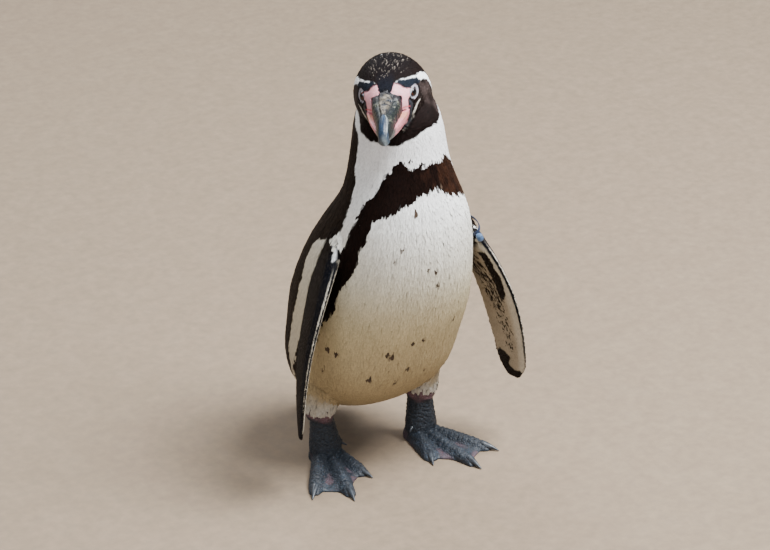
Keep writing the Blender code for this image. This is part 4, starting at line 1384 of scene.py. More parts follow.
    def dress(self, finish: bpy.types.Material) -> None:
        """Joins the lids on, paints the skin and places it.

        Args:
            finish: the material it gets.
        """
        count = len(self.places)
        lids = [self.eyes.lid(side, self.tree) for side in (1, -1)]
        self.obj = joined("skin", [self.obj, *lids])
        mesh = self.obj.data
        places = places_of(mesh)
        points = self.bird.to_bird(places)
        regions = np.concatenate((self.regions, np.full(len(places) - count, Region.HEAD.value)))
        colours, bare = self.marks.read(points, normals_of(mesh), regions)
        colours = np.where((bare < 0.5)[:, None], colours * self.shadow, colours)
        lid = (np.arange(len(places)) >= count).astype(float)
        lid = np.maximum(lid, self.eyes.covers(places))
        pale = toned(HUES.ring, 0.1 * noise(points, 0.12, 51))
        for side in (1, -1):
            x, y, z = self.eyes.flat(side, places)
            reach = np.hypot(x / self.eyes.half_long, y / self.eyes.half_short)
            rim = smoothstep(1.34, 1.16, reach) * (np.abs(z) < 1.1) * lid
            pale = blended(pale, rim, HUES.jaw_black)
        colours = blended(colours, smoothstep(0.3, 0.6, lid), pale)
        painted(mesh, colours)
        self.obj.vertex_groups.clear()
        alone(self.obj)
        bpy.ops.object.shade_smooth()
        mesh.materials.clear()
        mesh.materials.append(finish)
        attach(self.obj, "root")
        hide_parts(*FLESH)


# ---------------------------------------------------------------- coat


@dataclass(frozen=True)
class VaneForm:
    """Outline of a vane: share of its length, half width, height over the skin, and painted shade:
    darker towards the root, lighter at the tip.
    """

    rings: tuple
    tip_height: float
    tip_shade: float

    def triangles(self) -> np.ndarray:
        """Faces of one closed vane: a root point, rings of left, right and top, and a tip.

        Returns:
            Three vertices' numbers in a row.
        """
        last = len(self.rings) - 1
        tip = 1 + 3 * len(self.rings)
        faces = [(0, 1, 3), (0, 3, 2), (0, 2, 1)]
        for ring in range(last):
            a, b = 1 + 3 * ring, 4 + 3 * ring
            for first, second in ((0, 2), (2, 1), (1, 0)):
                faces += [(a + first, b + first, b + second), (a + first, b + second, a + second)]
        a = 1 + 3 * last
        faces += [(a, tip, a + 2), (a + 2, tip, a + 1), (a + 1, tip, a)]
        return np.array(faces)[:, ::-1]


ROUND_VANE = VaneForm(
    ((0.3, 0.8, 0.72, 0.66), (0.66, 1.0, 0.92, 0.92), (0.9, 0.66, 1.0, 1.02)), 0.98, 1.06
)
SMALL_VANE = VaneForm(((0.4, 0.95, 0.74, 0.78), (0.82, 0.8, 1.0, 1.0)), 0.97, 1.06)


@dataclass(frozen=True)
class VaneCut:
    """How the vanes of a part are cut: spacing, length, width, thickness in metres, and form."""

    spacing: float
    length: float
    width: float
    thick: float
    sway: float  # degrees that a vane may turn off the lie
    form: VaneForm


BLADE_CUT = VaneCut(0.00125, 0.0036, 0.0018, 0.00014, 6, SMALL_VANE)
CUTS = {
    Region.BODY: VaneCut(0.00155, 0.0102, 0.0024, 0.00016, 6, ROUND_VANE),
    Region.HEAD: VaneCut(0.00120, 0.0058, 0.0019, 0.00016, 9, ROUND_VANE),
    Region.LEG: VaneCut(0.0017, 0.0085, 0.0024, 0.0002, 9, ROUND_VANE),
    Region.TAIL: VaneCut(0.0021, 0.0125, 0.0032, 0.00026, 6, ROUND_VANE),
    Region.FLIPPER_LEFT: BLADE_CUT,
    Region.FLIPPER_RIGHT: BLADE_CUT,
}
MOST_TRIANGLES = 195_000


@dataclass
class Coat:
    """The plumage: thin overlapping vanes in joined pieces, laid along the body."""

    bird: BirdFrame
    marks: Markings
    skin: Skin
    candidates: float = 2.6  # tries for each place that is kept
    coarse: float = 2.0
    closeness: float = 0.86  # least gap between roots, as a share of the spacing
    most_bare: float = 0.35  # no vane grows where the skin is barer
    crisp_from: float = 37.5  # height from which marks cross the vanes, cm
    uneven: float = 0.12  # how much the vanes' sizes vary
    camber: float = 0.22  # how far a vane's normals lean to its sides
    rake: float = 0.08  # and towards its tip
    pale_width: float = 0.42  # width of the crown's pale vanes against the others
    pale_length: float = 1.25
    read_at: float = 0.65  # share of a lower vane's length at which its one colour is read

    def lie(self, points: np.ndarray, normals: np.ndarray, regions: np.ndarray) -> np.ndarray:
        """The way the coat lies at each place, along the skin.

        Args:
            points: places in the bird's frame, one row each.
            normals: outward directions there.
            regions: values of Region there.

        Returns:
            Directions, one row each.
        """
        way = np.tile((0.0, 0.22, -1.0), (len(points), 1))
        behind = self.bird.to_head(points)[:, 1]
        back = np.array(self.bird.head().to_3x3())[:, 1]
        down = smoothstep(2.5, 7.5, behind)[:, None]
        head = back * (1 - down) + np.array((0.0, 0.1, -1.0)) * down
        near = (smoothstep(37.5, 40.0, points[:, 2]) * (regions == Region.BODY.value))[:, None]
        way = way * (1 - near) + head * near
        way = np.where((regions == Region.HEAD.value)[:, None], head, way)
        way = np.where((regions == Region.TAIL.value)[:, None], (0.0, 4.4, -7.7), way)
        for region, pose in FLIPPERS.items():
            _, chord, _, down_blade, edge = pose.read(points)
            mine = (regions == region.value)[:, None]
            slant = 0.22 * smoothstep(0.95, 0.7, np.abs(chord))[:, None]
            way = np.where(mine, down_blade - slant * edge, way)
        return on_plane(way, normals)

    def fineness(self, points: np.ndarray, regions: np.ndarray) -> np.ndarray:
        """How much smaller than their region's cut the vanes are at each place.

        Args:
            points: places in the bird's frame, one row each.
            regions: values of Region there.

        Returns:
            A share for each place.
        """
        behind = self.bird.to_head(points)[:, 1]
        body = 0.56 + 0.44 * smoothstep(38.0, 31.0, points[:, 2])
        face = 0.62 + 0.38 * smoothstep(0.8, 4.5, behind)
        leg = 0.8 + 0.2 * smoothstep(4.5, 8.0, points[:, 2])
        fine = np.where(regions == Region.BODY.value, body, 1.0)
        fine = np.where(regions == Region.HEAD.value, face, fine)
        for region, pose in FLIPPERS.items():
            share, chord = pose.read(points)[:2]
            blade = np.minimum(smoothstep(0.98, 0.86, share), smoothstep(0.96, 0.82, chord))
            fine = np.where(regions == region.value, 0.6 + 0.4 * blade, fine)
        return np.where(regions == Region.LEG.value, leg, fine)

    def roots(self, random: np.random.Generator) -> tuple:
        """Spreads the vanes' roots over the feathered skin.

        Args:
            random: the source of the draws.

        Returns:
            Row-frame places, normals, values of Region, and how deep the skin is there.
        """
        skin = self.skin
        spacing = np.full(len(Region), 1.0)
        for region, cut in CUTS.items():
            spacing[region.value] = cut.spacing * 1.0
        first = skin.triangles[:, 0]
        region = skin.regions[first]
        apart = spacing[region] * self.fineness(self.bird.to_bird(skin.places[first]), region)
        weight = np.where(region == Region.FOOT.value, 0.0, skin.areas() / apart**2)
        count = int(weight.sum() * self.candidates)
        chosen, part, places, normals = skin.scattered(weight, count, random)
        bare = np.sum(part * skin.bare[skin.triangles[chosen]], axis=1)
        depth = np.sum(part * skin.depth[skin.triangles[chosen]], axis=1)
        kept = spread_out(places, apart[chosen] * self.closeness, bare < self.most_bare)
        return places[kept], normals[kept], region[chosen][kept], depth[kept]

    def zone(self, region: Region, points: np.ndarray) -> np.ndarray:
        """The name of the coat piece that each vane of a region belongs to.

        Args:
            region: the part of the bird.
            points: places in the bird's frame, one row each.

        Returns:
            A name for each vane.
        """
        if region is Region.HEAD:
            return np.where(self.bird.to_head(points)[:, 2] > -1.9, "coat_crown", "coat_face")
        if region in FLIPPERS:
            return np.full(len(points), "coat_" + region.name.lower())
        if region is Region.LEG:
            return np.full(len(points), "coat_legs")
        if region is Region.TAIL:
            return np.full(len(points), "coat_tail")
        angle = self.marks.body_angle(points)
        aside = np.abs(angle)
        lower = np.where(points[:, 2] > 19.0, "coat_breast", "coat_belly")
        rear = np.where(angle > 0, "coat_back_left", "coat_back_right")
        names = np.where(aside < 80, lower, rear)
        neck = np.where(aside < 80, "coat_throat", "coat_nape")
        return np.where(points[:, 2] > 30.0, neck, names)

    def unwrap(self, region: Region, points: np.ndarray) -> np.ndarray:
        """Places on an unwrap of the skin's own form, within the unit square.

        Args:
            region: the part of the bird.
            points: places in the bird's frame, one row each.

        Returns:
            Two shares for each place.
        """
        if region in FLIPPERS:
            share, chord, across, _, _ = FLIPPERS[region].read(points)
            u = np.where(across > 0, 0.25, 0.75) + 0.2 * np.clip(chord, -1.15, 1.15)
            return np.column_stack((u, 0.04 + 0.9 * np.clip(share, 0, 1)))
        if region is Region.HEAD:
            local = self.bird.to_head(points)
            middle = (column(HEAD, local[:, 1], 1) + column(HEAD, local[:, 1], 2)) / 2
            turn = np.arctan2(local[:, 0], local[:, 2] - middle)
            v = 0.05 + (local[:, 1] + 0.6) / 10.0
            return np.column_stack((0.5 + turn / (2 * math.pi) * 0.96, v))
        if region is Region.LEG:
            left = points[:, 0] > 0
            ankle = np.where(left[:, None], FEET[0].ankle, FEET[1].ankle)
            turn = np.arctan2(points[:, 0] - ankle[:, 0], ankle[:, 1] - points[:, 1])
            u = np.where(left, 0.26, 0.74) + turn / (2 * math.pi) * 0.44
            return np.column_stack((u, 0.05 + 0.9 * np.clip((points[:, 2] - 4.0) / 9.0, 0, 1)))
        if region is Region.TAIL:
            middle = np.interp(points[:, 2], (1.7, 9.4), (11.4, 7.0))
            turn = np.arctan2(points[:, 0], points[:, 1] - middle)
            return np.column_stack((0.5 + turn / (2 * math.pi) * 0.96, 0.05 + 0.09 * points[:, 2]))
        turn = self.marks.body_angle(points)
        return np.column_stack((0.5 + turn / 360 * 0.97, 0.02 + 0.95 * (points[:, 2] - 3.5) / 41.0))

    def flecked(self, points: np.ndarray, draw: np.ndarray) -> np.ndarray:
        """Whether each vane of the head is a pale one of the crown."""
        local = self.bird.to_head(points)
        top = smoothstep(0.6, 1.7, local[:, 2]) * smoothstep(1.0, 2.4, local[:, 1])
        return draw < 0.26 * top

    def tinted(
        self, region: Region, points: np.ndarray, colours: np.ndarray, vary: np.ndarray,
        draw: np.ndarray,
    ) -> tuple:
        """Varies the vanes' colours and gives each one's tip its own.

        Args:
            region: the part that they grow on.
            points: places in the bird's frame.
            colours: the marks' colours there.
            vary: how much darker or lighter than the marks each vane is.
            draw: a share from 0 to 1 for each vane.

        Returns:
            Colours of the vanes and of their tips.
        """
        dark = smoothstep(0.16, 0.06, colours.max(axis=1))
        colours = colours * (1.0 + (0.03 + 0.14 * dark) * vary)[:, None]
        tips = colours.copy()
        faint = (draw * 37.0) % 1.0
        if region is Region.HEAD:
            pale = self.flecked(points, draw) * dark * (0.1 + 0.7 * faint)
            tips = blended(tips, pale, (0.36, 0.31, 0.26))
            local = self.bird.to_head(points)
            cheek = smoothstep(0.1, -0.6, local[:, 2]) * smoothstep(6.0, 4.0, local[:, 1])
            tips = blended(tips, (draw > 0.8) * dark * cheek * 0.6 * faint, (0.14, 0.11, 0.10))
        if region in (Region.BODY, Region.TAIL):
            angle = np.abs(self.marks.body_angle(points))
            behind = smoothstep(88, 100, angle) * dark
            tips = blended(tips, behind * (0.25 + 0.5 * (draw < 0.3)) * 0.5, (0.055, 0.038, 0.028))
        if region in FLIPPERS:
            tips = blended(tips, dark * 0.35 * (draw < 0.35), (0.07, 0.06, 0.055))
        return np.clip(colours, 0, 1), np.clip(tips, 0, 1)

    def grown(
        self, region: Region, places: np.ndarray, normals: np.ndarray, depth: np.ndarray,
        random: np.random.Generator,
    ) -> dict:
        """Shapes the vanes of one region.

        Args:
            region: the part that they grow on.
            places: their roots in the row frame.
            normals: the skin's normals there.
            depth: the coat's depth there, in metres.
            random: the source of the draws.

        Returns:
            Arrays for each vane: vertices, normals, colours, and places on both maps.
        """
        cut = CUTS[region]
        form = cut.form
        count = len(places)
        points = self.bird.to_bird(places)
        regions = np.full(count, region.value)
        way = self.lie(points, normals, regions)
        sway = np.radians(random.normal(0.0, cut.sway, count))[:, None]
        way = way * np.cos(sway) + np.cross(normals, way) * np.sin(sway)
        grow = 1.0 + self.uneven * random.normal(0.0, 1.0, count)
        grow *= np.interp(depth, (0.0002, 0.0008), (0.55, 1.0))
        grow *= self.fineness(points, regions)
        length = cut.length * grow
        width = 0.5 * cut.width * grow
        vary, draw = random.normal(0.0, 1.0, count), random.random(count)
        if region is Region.HEAD:
            pale = self.flecked(points, draw)
            width = np.where(pale, self.pale_width, 1.0) * width
            length = np.where(pale, self.pale_length, 1.0) * length

        ends = places + way * length[:, None]
        end_normals = normals.copy()
        for index in range(count):
            hit, normal, _, _ = self.skin.tree.find_nearest(Vector(ends[index]))
            if normal.dot(Vector(normals[index])) > 0.2:
                ends[index], end_normals[index] = hit, normal
            else:
                ends[index] = places[index] + 0.3 * (ends[index] - places[index])
        bend = np.arccos(np.clip(np.sum(normals * end_normals, axis=1), -1, 1)) * length / 8
        high = np.maximum(depth, 0.0002) * random.uniform(0.86, 1.04, count)

        shown = {}
        crisp = (points[:, 2] > self.crisp_from) | (region is Region.HEAD) | (region in FLIPPERS)

        def coloured(share: float) -> tuple:
            """Colours of the vanes and of their tips, read at a share of their length.

            Args:
                share: a share of the length.

            Returns:
                Both colours, one row for each vane.
            """
            if share not in shown:
                at_share = np.where(crisp, share, self.read_at)[:, None]
                seen = self.bird.to_bird(places * (1 - at_share) + ends * at_share)
                marks, _ = self.marks.read(seen, normals, regions)
                shown[share] = self.tinted(region, seen, marks, vary, draw)
            return shown[share]

        spots = self.unwrap(region, points)

        def at(share: float, aside: float, height: float, thick: float) -> tuple:
            """Place and normal at a share of the length and a half width aside.

            Args:
                share: share of the length.
                aside: half widths aside.
                height: share of the coat's depth over the skin.
                thick: thicknesses over that.

            Returns:
                A place and a normal for each vane.
            """
            normal = unit(normals * (1 - share) + end_normals * share)
            along = unit(ends - places)
            left = unit(np.cross(normal, along))
            middle = places * (1 - share) + ends * share
            rise = high * height + 4 * share * (1 - share) * bend + cut.thick * thick
            spot = middle + normal * rise[:, None] + left * (width * aside)[:, None]
            tilt = normal + left * (self.camber * np.sign(aside)) + along * self.rake
            return spot, unit(tilt)

        rows, turned, shades, maps = [], [], [], []

        def add(share: float, aside: float, height: float, thick: float, shade: float) -> None:
            """Adds one vertex to every vane.

            Args:
                share: share of the length.
                aside: half widths aside.
                height: share of the coat's depth over the skin.
                thick: thicknesses over that.
                shade: how light it is painted, as shade and light on the vane.
            """
            spot, normal = at(share, aside, height, thick)
            rows.append(spot)
            turned.append(normal)
            colours, tips = coloured(share)
            blend_tip = float(smoothstep(0.5, 0.9, np.array(share)))
            shown_colour = colours * (1 - blend_tip) + tips * blend_tip
            # Pale vanes get less of the painted shade.
            pale = smoothstep(0.2, 0.6, shown_colour.max(axis=1))[:, None]
            shades.append(shown_colour * (1 - (1 - shade) * (1 - 0.6 * pale)))
            maps.append((0.5 - 0.5 * aside, share))

        # Painted shade and light: the root darkest, where the vanes above cover it, the sides a
        # little darker than the top, the tip a little lighter.
        add(0.0, 0.0, -0.15, 0.0, 0.45)
        for share, half, height, shade in form.rings:
            add(share, half, height, 0.0, shade * 0.97)
            add(share, -half, height, 0.0, shade * 0.97)
            add(share, 0.0, height, 1.0, shade)
        add(1.0, 0.0, form.tip_height, 0.0, form.tip_shade)
        flat = np.array(maps)
        patch = (flat - 0.5) * np.array((PATCH, -PATCH))
        return {
            "zone": self.zone(region, points),
            "vertices": np.stack(rows, axis=1),
            "normals": np.stack(turned, axis=1),
            "colours": np.clip(np.stack(shades, axis=1), 0, 1),
            "bake": np.clip(spots, 0.004, 0.996)[:, None, :] + patch[None],
            "vane": np.broadcast_to(flat[None], (count, *flat.shape)),
            "faces": form.triangles(),
        }

    def piece(self, name: str, vanes: dict, mine: np.ndarray, finish: bpy.types.Material) -> None:
        """Joins the vanes of one zone into a piece.

        Args:
            name: the piece's name.
            vanes: what grown gives for a region.
            mine: which of its vanes belong to the zone.
            finish: the material it gets.
        """
        vertices = vanes["vertices"][mine]
        each = vertices.shape[1]
        starts = np.arange(len(vertices)) * each
        triangles = (starts[:, None, None] + vanes["faces"][None]).reshape(-1, 3)
        if len(triangles) > MOST_TRIANGLES:
            LOG.warning("%s has %d triangles", name, len(triangles))
        obj = mesh_of(name, vertices.reshape(-1, 3), triangles)
        mesh = obj.data
        painted(mesh, vanes["colours"][mine].reshape(-1, 3))
        mapped(mesh, BAKE_MAP, vanes["bake"][mine], triangles)
        mapped(mesh, VANE_MAP, vanes["vane"][mine], triangles)
        mesh.normals_split_custom_set_from_vertices(vanes["normals"][mine].reshape(-1, 3))
        mesh.materials.append(finish)
        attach(obj, "root")
        LOG.info("%s: %d vanes, %d triangles", name, len(vertices), len(triangles))

    def build(self, finish: bpy.types.Material) -> None:
        """Grows the whole coat.

        Args:
            finish: the material it gets.
        """
        random = np.random.default_rng(SEED)
        places, normals, regions, depth = self.roots(random)
        LOG.info("%d vanes rooted", len(places))
        for region in CUTS:
            mine = regions == region.value
            vanes = self.grown(region, places[mine], normals[mine], depth[mine], random)
            for name in np.unique(vanes["zone"]):
                self.piece(str(name), vanes, vanes["zone"] == name, finish)


# ---------------------------------------------------------------- bill, tail, feet, claws


# Forward of the bill's base, and half width, of the nail that hooks over the tip.
NAIL_HALF = ((3.1, 3.4, 3.8, 4.7, 5.2, 5.5), (0.0, 0.28, 0.40, 0.46, 0.55, 0.9))
# Streaks of the nail that hooks over the bill's tip: place in the head's frame, half width.
NAIL_SHADE = ((0.05, -3.7, -0.6, 0.05), (0.08, -4.4, -0.85, 0.10), (0.06, -5.0, -1.2, 0.06))
# The pale streaks over the nail: partly a pale band of the horn, partly a painted highlight.
NAIL_SHINE = (
    (0.18, -3.25, -0.52, 0.05), (0.34, -3.6, -0.66, 0.08), (0.40, -4.2, -0.9, 0.08),
    (0.36, -4.9, -1.25, 0.07), (0.26, -5.4, -1.7, 0.05),
)


@dataclass
class Bill:
    """The horny bill: a plated upper half with a hooked nail, and a lower half."""

    bird: BirdFrame
    # Forward of the base, ridge, cutting edge, half width.
    upper: np.ndarray = field(default_factory=lambda: np.array((
        (-1.3, 0.35, -1.75, 1.35), (-0.9, 0.42, -1.75, 1.45), (0, 0.26, -1.7, 1.45),
        (1.4, -0.2, -1.72, 1.24), (2.8, -0.43, -1.8, 0.95), (3.9, -0.68, -1.95, 0.75),
        (4.8, -1.08, -2.08, 0.58),
        (5.45, -1.6, -2.3, 0.38), (5.8, -2.2, -2.45, 0.1),
    )))
    # Forward of the base, cutting edge, keel, half width.
    lower: np.ndarray = field(default_factory=lambda: np.array((
        (-1.3, -1.85, -3.0, 1.75), (-0.9, -1.82, -3.1, 1.95), (0.8, -1.78, -3.25, 1.84),
        (2.1, -1.82, -3.2, 1.47), (3.1, -1.92, -3.05, 1.07), (4.2, -2.02, -2.75, 0.66),
        (5.1, -2.2, -2.42, 0.26),
    )))
    start: float = -1.3  # where both halves begin, forward of the base
    upper_length: float = 7.1
    lower_length: float = 6.4
    crowding: float = 1.05  # over 1 it draws the sections towards the base
    shoulder: float = 0.7  # height of the upper half's shoulders at its base, as a share
    around: int = 96
    along: int = 130
    arc: float = 0.8  # share of a section's outline that is its outer side

    def section(self, turn: np.ndarray, fullness: float, domed: np.ndarray) -> tuple:
        """Section of one half: the outer side is roofed or domed, the mouth side flat.

        Args:
            turn: shares of the section's outline.
            fullness: under 1 it fills a domed section's flanks out.
            domed: 0 for upright sides with a low roof, 1 for a dome.

        Returns:
            Across from -1 to 1 and rise from 0 to 1.
        """
        share = np.clip(turn / self.arc, 0, 1)
        angle = math.pi * share
        round_across = np.sign(np.cos(angle)) * np.abs(np.cos(angle)) ** fullness
        near = 1 - np.abs(1 - 2 * share)
        side = np.where(share < 0.5, 1.0, -1.0)
        roof_across = side * np.clip(2 * (1 - near), 0, 1)
        roof_across -= 0.1 * side * smoothstep(0.3, 0.5, near) * smoothstep(0.7, 0.5, near)
        roof_rise = self.shoulder * np.clip(2 * near, 0, 1)
        roof_rise += (1 - self.shoulder) * np.clip(2 * near - 1, 0, 1)
        across = roof_across + (round_across - roof_across) * domed
        rise = roof_rise + (np.sin(angle) ** 0.85 - roof_rise) * domed
        under = np.clip((turn - self.arc) / (1 - self.arc), 0, 1)
        across = np.where(turn > self.arc, 2 * under - 1, across)
        return across, np.where(turn > self.arc, 0.0, rise)

    def fullness(self, share: np.ndarray, tip_from: float) -> np.ndarray:
        """How full a half is along its length; it closes at the base and from a share on."""
        tip = smoothstep(tip_from, 1.0, share)
        return smoothstep(0.0, 0.03, share) * np.sqrt(1 - tip**2 * 0.9999)

    def nail_edge(self, aside: np.ndarray, forward: np.ndarray) -> np.ndarray:
        """How far places lie inside the smooth nail that hooks over the tip, in centimetres."""
        half = np.interp(forward, *NAIL_HALF)
        return half - np.abs(aside)

    def upper_place(self, turn: np.ndarray, share: np.ndarray) -> np.ndarray:
        """Places of the upper half for shares of its outline and of its length.

        Args:
            turn: shares of a section's outline.
            share: shares of its length.

        Returns:
            Row-frame places.
        """
        forward = self.start + self.upper_length * np.sin(share * math.pi / 2) ** self.crowding
        across, rise = self.section(turn, 1.0, smoothstep(0.2, 3.2, forward) * 0.9 + 0.1)
        ridge, edge = column(self.upper, forward, 1), column(self.upper, forward, 2) + 0.02
        half = column(self.upper, forward, 3)
        close = self.fullness(share, 0.97)
        outer = turn < self.arc
        aside = across * half
        grain = np.column_stack((aside, forward, rise * 1.5))
        rough = smoothstep(3.6, 2.6, forward)
        swell = 0.05 * hump(aside, 0.22) * (rise > 0.5)
        # A groove parts the ridge's plates from the plates of each side.
        plates = np.interp(forward, (0, 1.2, 3.0), (0.72, 0.62, 0.34))
        groove = np.abs(aside) - plates - 0.05 * noise(grain, 0.5, 60)
        swell -= 0.09 * hump(groove, 0.11) * smoothstep(-0.2, 0.3, forward) * rough
        swell += 0.05 * hump(groove + 0.2, 0.14) * rough
        nail = self.nail_edge(aside, forward)
        swell += 0.06 * smoothstep(-0.03, 0.12, nail) - 0.05 * hump(nail + 0.04, 0.06)
        wrinkle = np.sin(forward * 11.0 + 4.0 * np.abs(aside) + 2.2 * noise(grain, 0.6, 62))
        swell += 0.016 * wrinkle * rough
        pits = 0.022 * noise(grain, 0.3, 63) + 0.014 * noise(grain, 0.13, 64)
        swell += pits * (0.25 + 0.75 * rough)
        swell += 0.03 * hump(rise, 0.08)
        size = 1.0 + outer * swell / np.maximum(half, 0.3)
        middle = (ridge + edge) / 2
        z = middle + (edge + (ridge - edge) * rise - middle) * close * np.where(outer, size, 1.0)
        return self.bird.head_to_row(np.column_stack((aside * close * size, -forward, z)))

    def lower_place(self, turn: np.ndarray, share: np.ndarray) -> np.ndarray:
        """Places of the lower half for shares of its outline and of its length.

        Args:
            turn: shares of a section's outline.
            share: shares of its length.

        Returns:
            Row-frame places.
        """
        forward = self.start + self.lower_length * np.sin(share * math.pi / 2) ** self.crowding
        across, rise = self.section(turn, 0.72, np.ones(len(turn)))
        top, keel = column(self.lower, forward, 1), column(self.lower, forward, 2)
        half = column(self.lower, forward, 3)
        close = self.fullness(share, 0.96)
        grain = np.column_stack((across * half, forward, rise * 1.5))
        crease = hump(rise - 0.5, 0.12) * smoothstep(1.0, 2.0, forward)
        swell = 0.02 * noise(grain, 0.3, 64) - 0.05 * crease
        size = 1.0 + (turn < self.arc) * swell / np.maximum(half, 0.3)
        middle = (top + keel) / 2
        z = middle + (top + (keel - top) * rise - middle) * close * size
        return self.bird.head_to_row(np.column_stack((across * half * close * size, -forward, z)))

    def upper_colours(self, local: np.ndarray) -> np.ndarray:
        """Horn colours of the upper half at places in the head's frame.

        Args:
            local: the places.

        Returns:
            Linear colours, one row each.
        """
        aside, forward = local[:, 0], -local[:, 1]
        patches = noise(local, 0.30, 65) + 0.6 * noise(local, 0.13, 66)
        patches += 0.45 * noise(local, 0.07, 67)
        plate = np.broadcast_to((0.008, 0.011, 0.011), local.shape)
        tan = layered(
            np.broadcast_to((0.105, 0.088, 0.066), local.shape),
            (smoothstep(0.2, 0.9, patches), (0.22, 0.195, 0.155)),
            (smoothstep(0.0, -0.6, patches), (0.022, 0.021, 0.021)),
        )
        spread = np.interp(forward, (-0.2, 0.4, 1.4, 3.0), (0.25, 0.62, 0.55, 0.12))
        ridge = smoothstep(0.14, -0.1, np.abs(aside) - spread + 0.12 * patches)
        nail = self.nail_edge(aside, forward) + 0.03 * patches
        fibre = noise(local * np.array((4.0, 0.7, 4.0)), 0.5, 68)
        worn = smoothstep(0.0, 0.5, noise(local, 0.35, 70)) * smoothstep(4.9, 5.3, forward)
        corner = 0.36 * smoothstep(0.7, 0.3, np.abs(aside))
        return layered(
            plate,
            (smoothstep(0.2, 0.7, patches), (0.030, 0.034, 0.027)),
            (smoothstep(0.7, 1.1, patches), (0.12, 0.118, 0.088)),
            (0.9 * ridge * smoothstep(3.3, 2.9, forward), tan),
            (smoothstep(-0.35, -0.8, patches), (0.010, 0.012, 0.016)),
            (smoothstep(-0.02, 0.06, nail), toned((0.014, 0.028, 0.050), 0.5 * fibre)),
            (0.8 * soft(stroke_depth(local, NAIL_SHADE), 0.08), (0.010, 0.016, 0.035)),
            # Pale streaks on the nail, partly a painted highlight.
            (0.75 * smoothstep(-0.05, 0.06, stroke_depth(local, NAIL_SHINE)), (0.36, 0.39, 0.38)),
            (0.5 * smoothstep(5.3, 5.75, forward), (0.20, 0.22, 0.21)),
            (0.8 * worn, (0.05, 0.055, 0.06)),
            (smoothstep(0.66, 0.5, forward + corner + 0.05 * patches), (0.010, 0.010, 0.012)),
        )

    def lower_colours(self, local: np.ndarray) -> np.ndarray:
        """Colours of the lower half at places in the head's frame.

        Args:
            local: the places.

        Returns:
            Linear colours, one row each.
        """
        forward, above = -local[:, 1], local[:, 2]
        patches = noise(local, 0.4, 71)
        rear = smoothstep(0.0, 0.5, forward) * smoothstep(1.9, 1.2, forward)
        horn = toned((0.05, 0.05, 0.045), 0.5 * patches)
        return layered(
            toned((0.58, 0.205, 0.235), 0.1 * patches),
            (0.6 * smoothstep(-2.15, -1.95, above) * rear, (0.50, 0.22, 0.10)),
            (smoothstep(3.0, 3.7, forward + 0.2 * patches), horn),
            (0.6 * smoothstep(-3.0, -3.2, above) * smoothstep(0.8, 2.2, forward), horn),
        )

    def build(self, finish: bpy.types.Material) -> None:
        """Makes both halves.

        Args:
            finish: the material it gets.
        """
        for name, place, paint in (
            ("bill_upper", self.upper_place, self.upper_colours),
            ("bill_lower", self.lower_place, self.lower_colours),
        ):
            obj = shaped_grid(name + "_horn", self.around, self.along, place)
            local = self.bird.to_head(self.bird.to_bird(places_of(obj.data)))
            painted(obj.data, np.clip(paint(local), 0, 1))
            obj.data.materials.append(finish)
            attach(obj, "root")
            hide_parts(name)
            LOG.info("%s made", obj.name)


@dataclass
class TailFan:
    """The stiff feathers of the tail, side by side under the coat."""

    bird: BirdFrame
    root: tuple = (0.0, 8.3, 7.0)
    tip: tuple = (0.0, 11.25, 1.85)
    count: int = 14
    spread: float = 15.0  # degrees that the outermost feather turns aside
    half_width: float = 0.42
    root_span: float = 1.3
    arch: float = 0.45  # how far the outermost roots lie under the middle one
    thick: float = 0.05

    def feather(self, number: int) -> bpy.types.Object:
        """One feather with a raised shaft and a blunt point.

        Args:
            number: which feather, from the right.

        Returns:
            The feather.
        """
        aside = 2 * number / (self.count - 1) - 1
        root, tip = np.array(self.root), np.array(self.tip)
        length = np.linalg.norm(tip - root) * (1.0 - 0.16 * abs(aside))
        down = (tip - root) / np.linalg.norm(tip - root)
        across = np.array((1.0, 0.0, 0.0))
        turn = math.radians(self.spread) * aside
        way = down * math.cos(turn) + across * math.sin(turn)
        flat = across * math.cos(turn) - down * math.sin(turn)
        out = np.cross(flat, way)
        start = root + across * self.root_span * aside - out * self.arch * aside**2
        start = start + out * 0.06 * (number % 2)  # every second one lies over its neighbours

        def place(turned: np.ndarray, share: np.ndarray) -> np.ndarray:
            """Places for shares of the feather's outline and length.

            Args:
                turned: shares of the outline.
                share: shares of the length.

            Returns:
                Row-frame places.
            """
            angle = 2 * math.pi * turned
            half = self.half_width * smoothstep(0.0, 0.12, share)
            half *= np.sqrt(1 - smoothstep(0.72, 1.0, share) ** 2)
            thick = self.thick * smoothstep(0, 0.05, share) * (1 - 0.9 * smoothstep(0.8, 1, share))
            shaft = 0.05 * hump(np.cos(angle), 0.18) * (np.sin(angle) > 0) * (half > 0.02)
            lift = np.sin(angle) * thick * (half > 0) + shaft
            spot = start + (share * length)[:, None] * way + (np.cos(angle) * half)[:, None] * flat
            return self.bird.to_row(spot + lift[:, None] * out)

        return shaped_grid("tail_feather", 16, 14, place)

    def build(self, finish: bpy.types.Material) -> None:
        """Makes the fan as one piece.

        Args:
            finish: the material it gets.
        """
        obj = joined("tail_feathers", [self.feather(number) for number in range(self.count)])
        points = self.bird.to_bird(places_of(obj.data))
        tint = toned(HUES.back, 0.3 * noise(points, 0.4, 81))
        pale = 0.25 * smoothstep(0.2, 0.7, noise(points, 0.8, 82))
        painted(obj.data, blended(tint, pale, (0.16, 0.14, 0.12)))
        obj.data.materials.append(finish)
        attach(obj, "root")


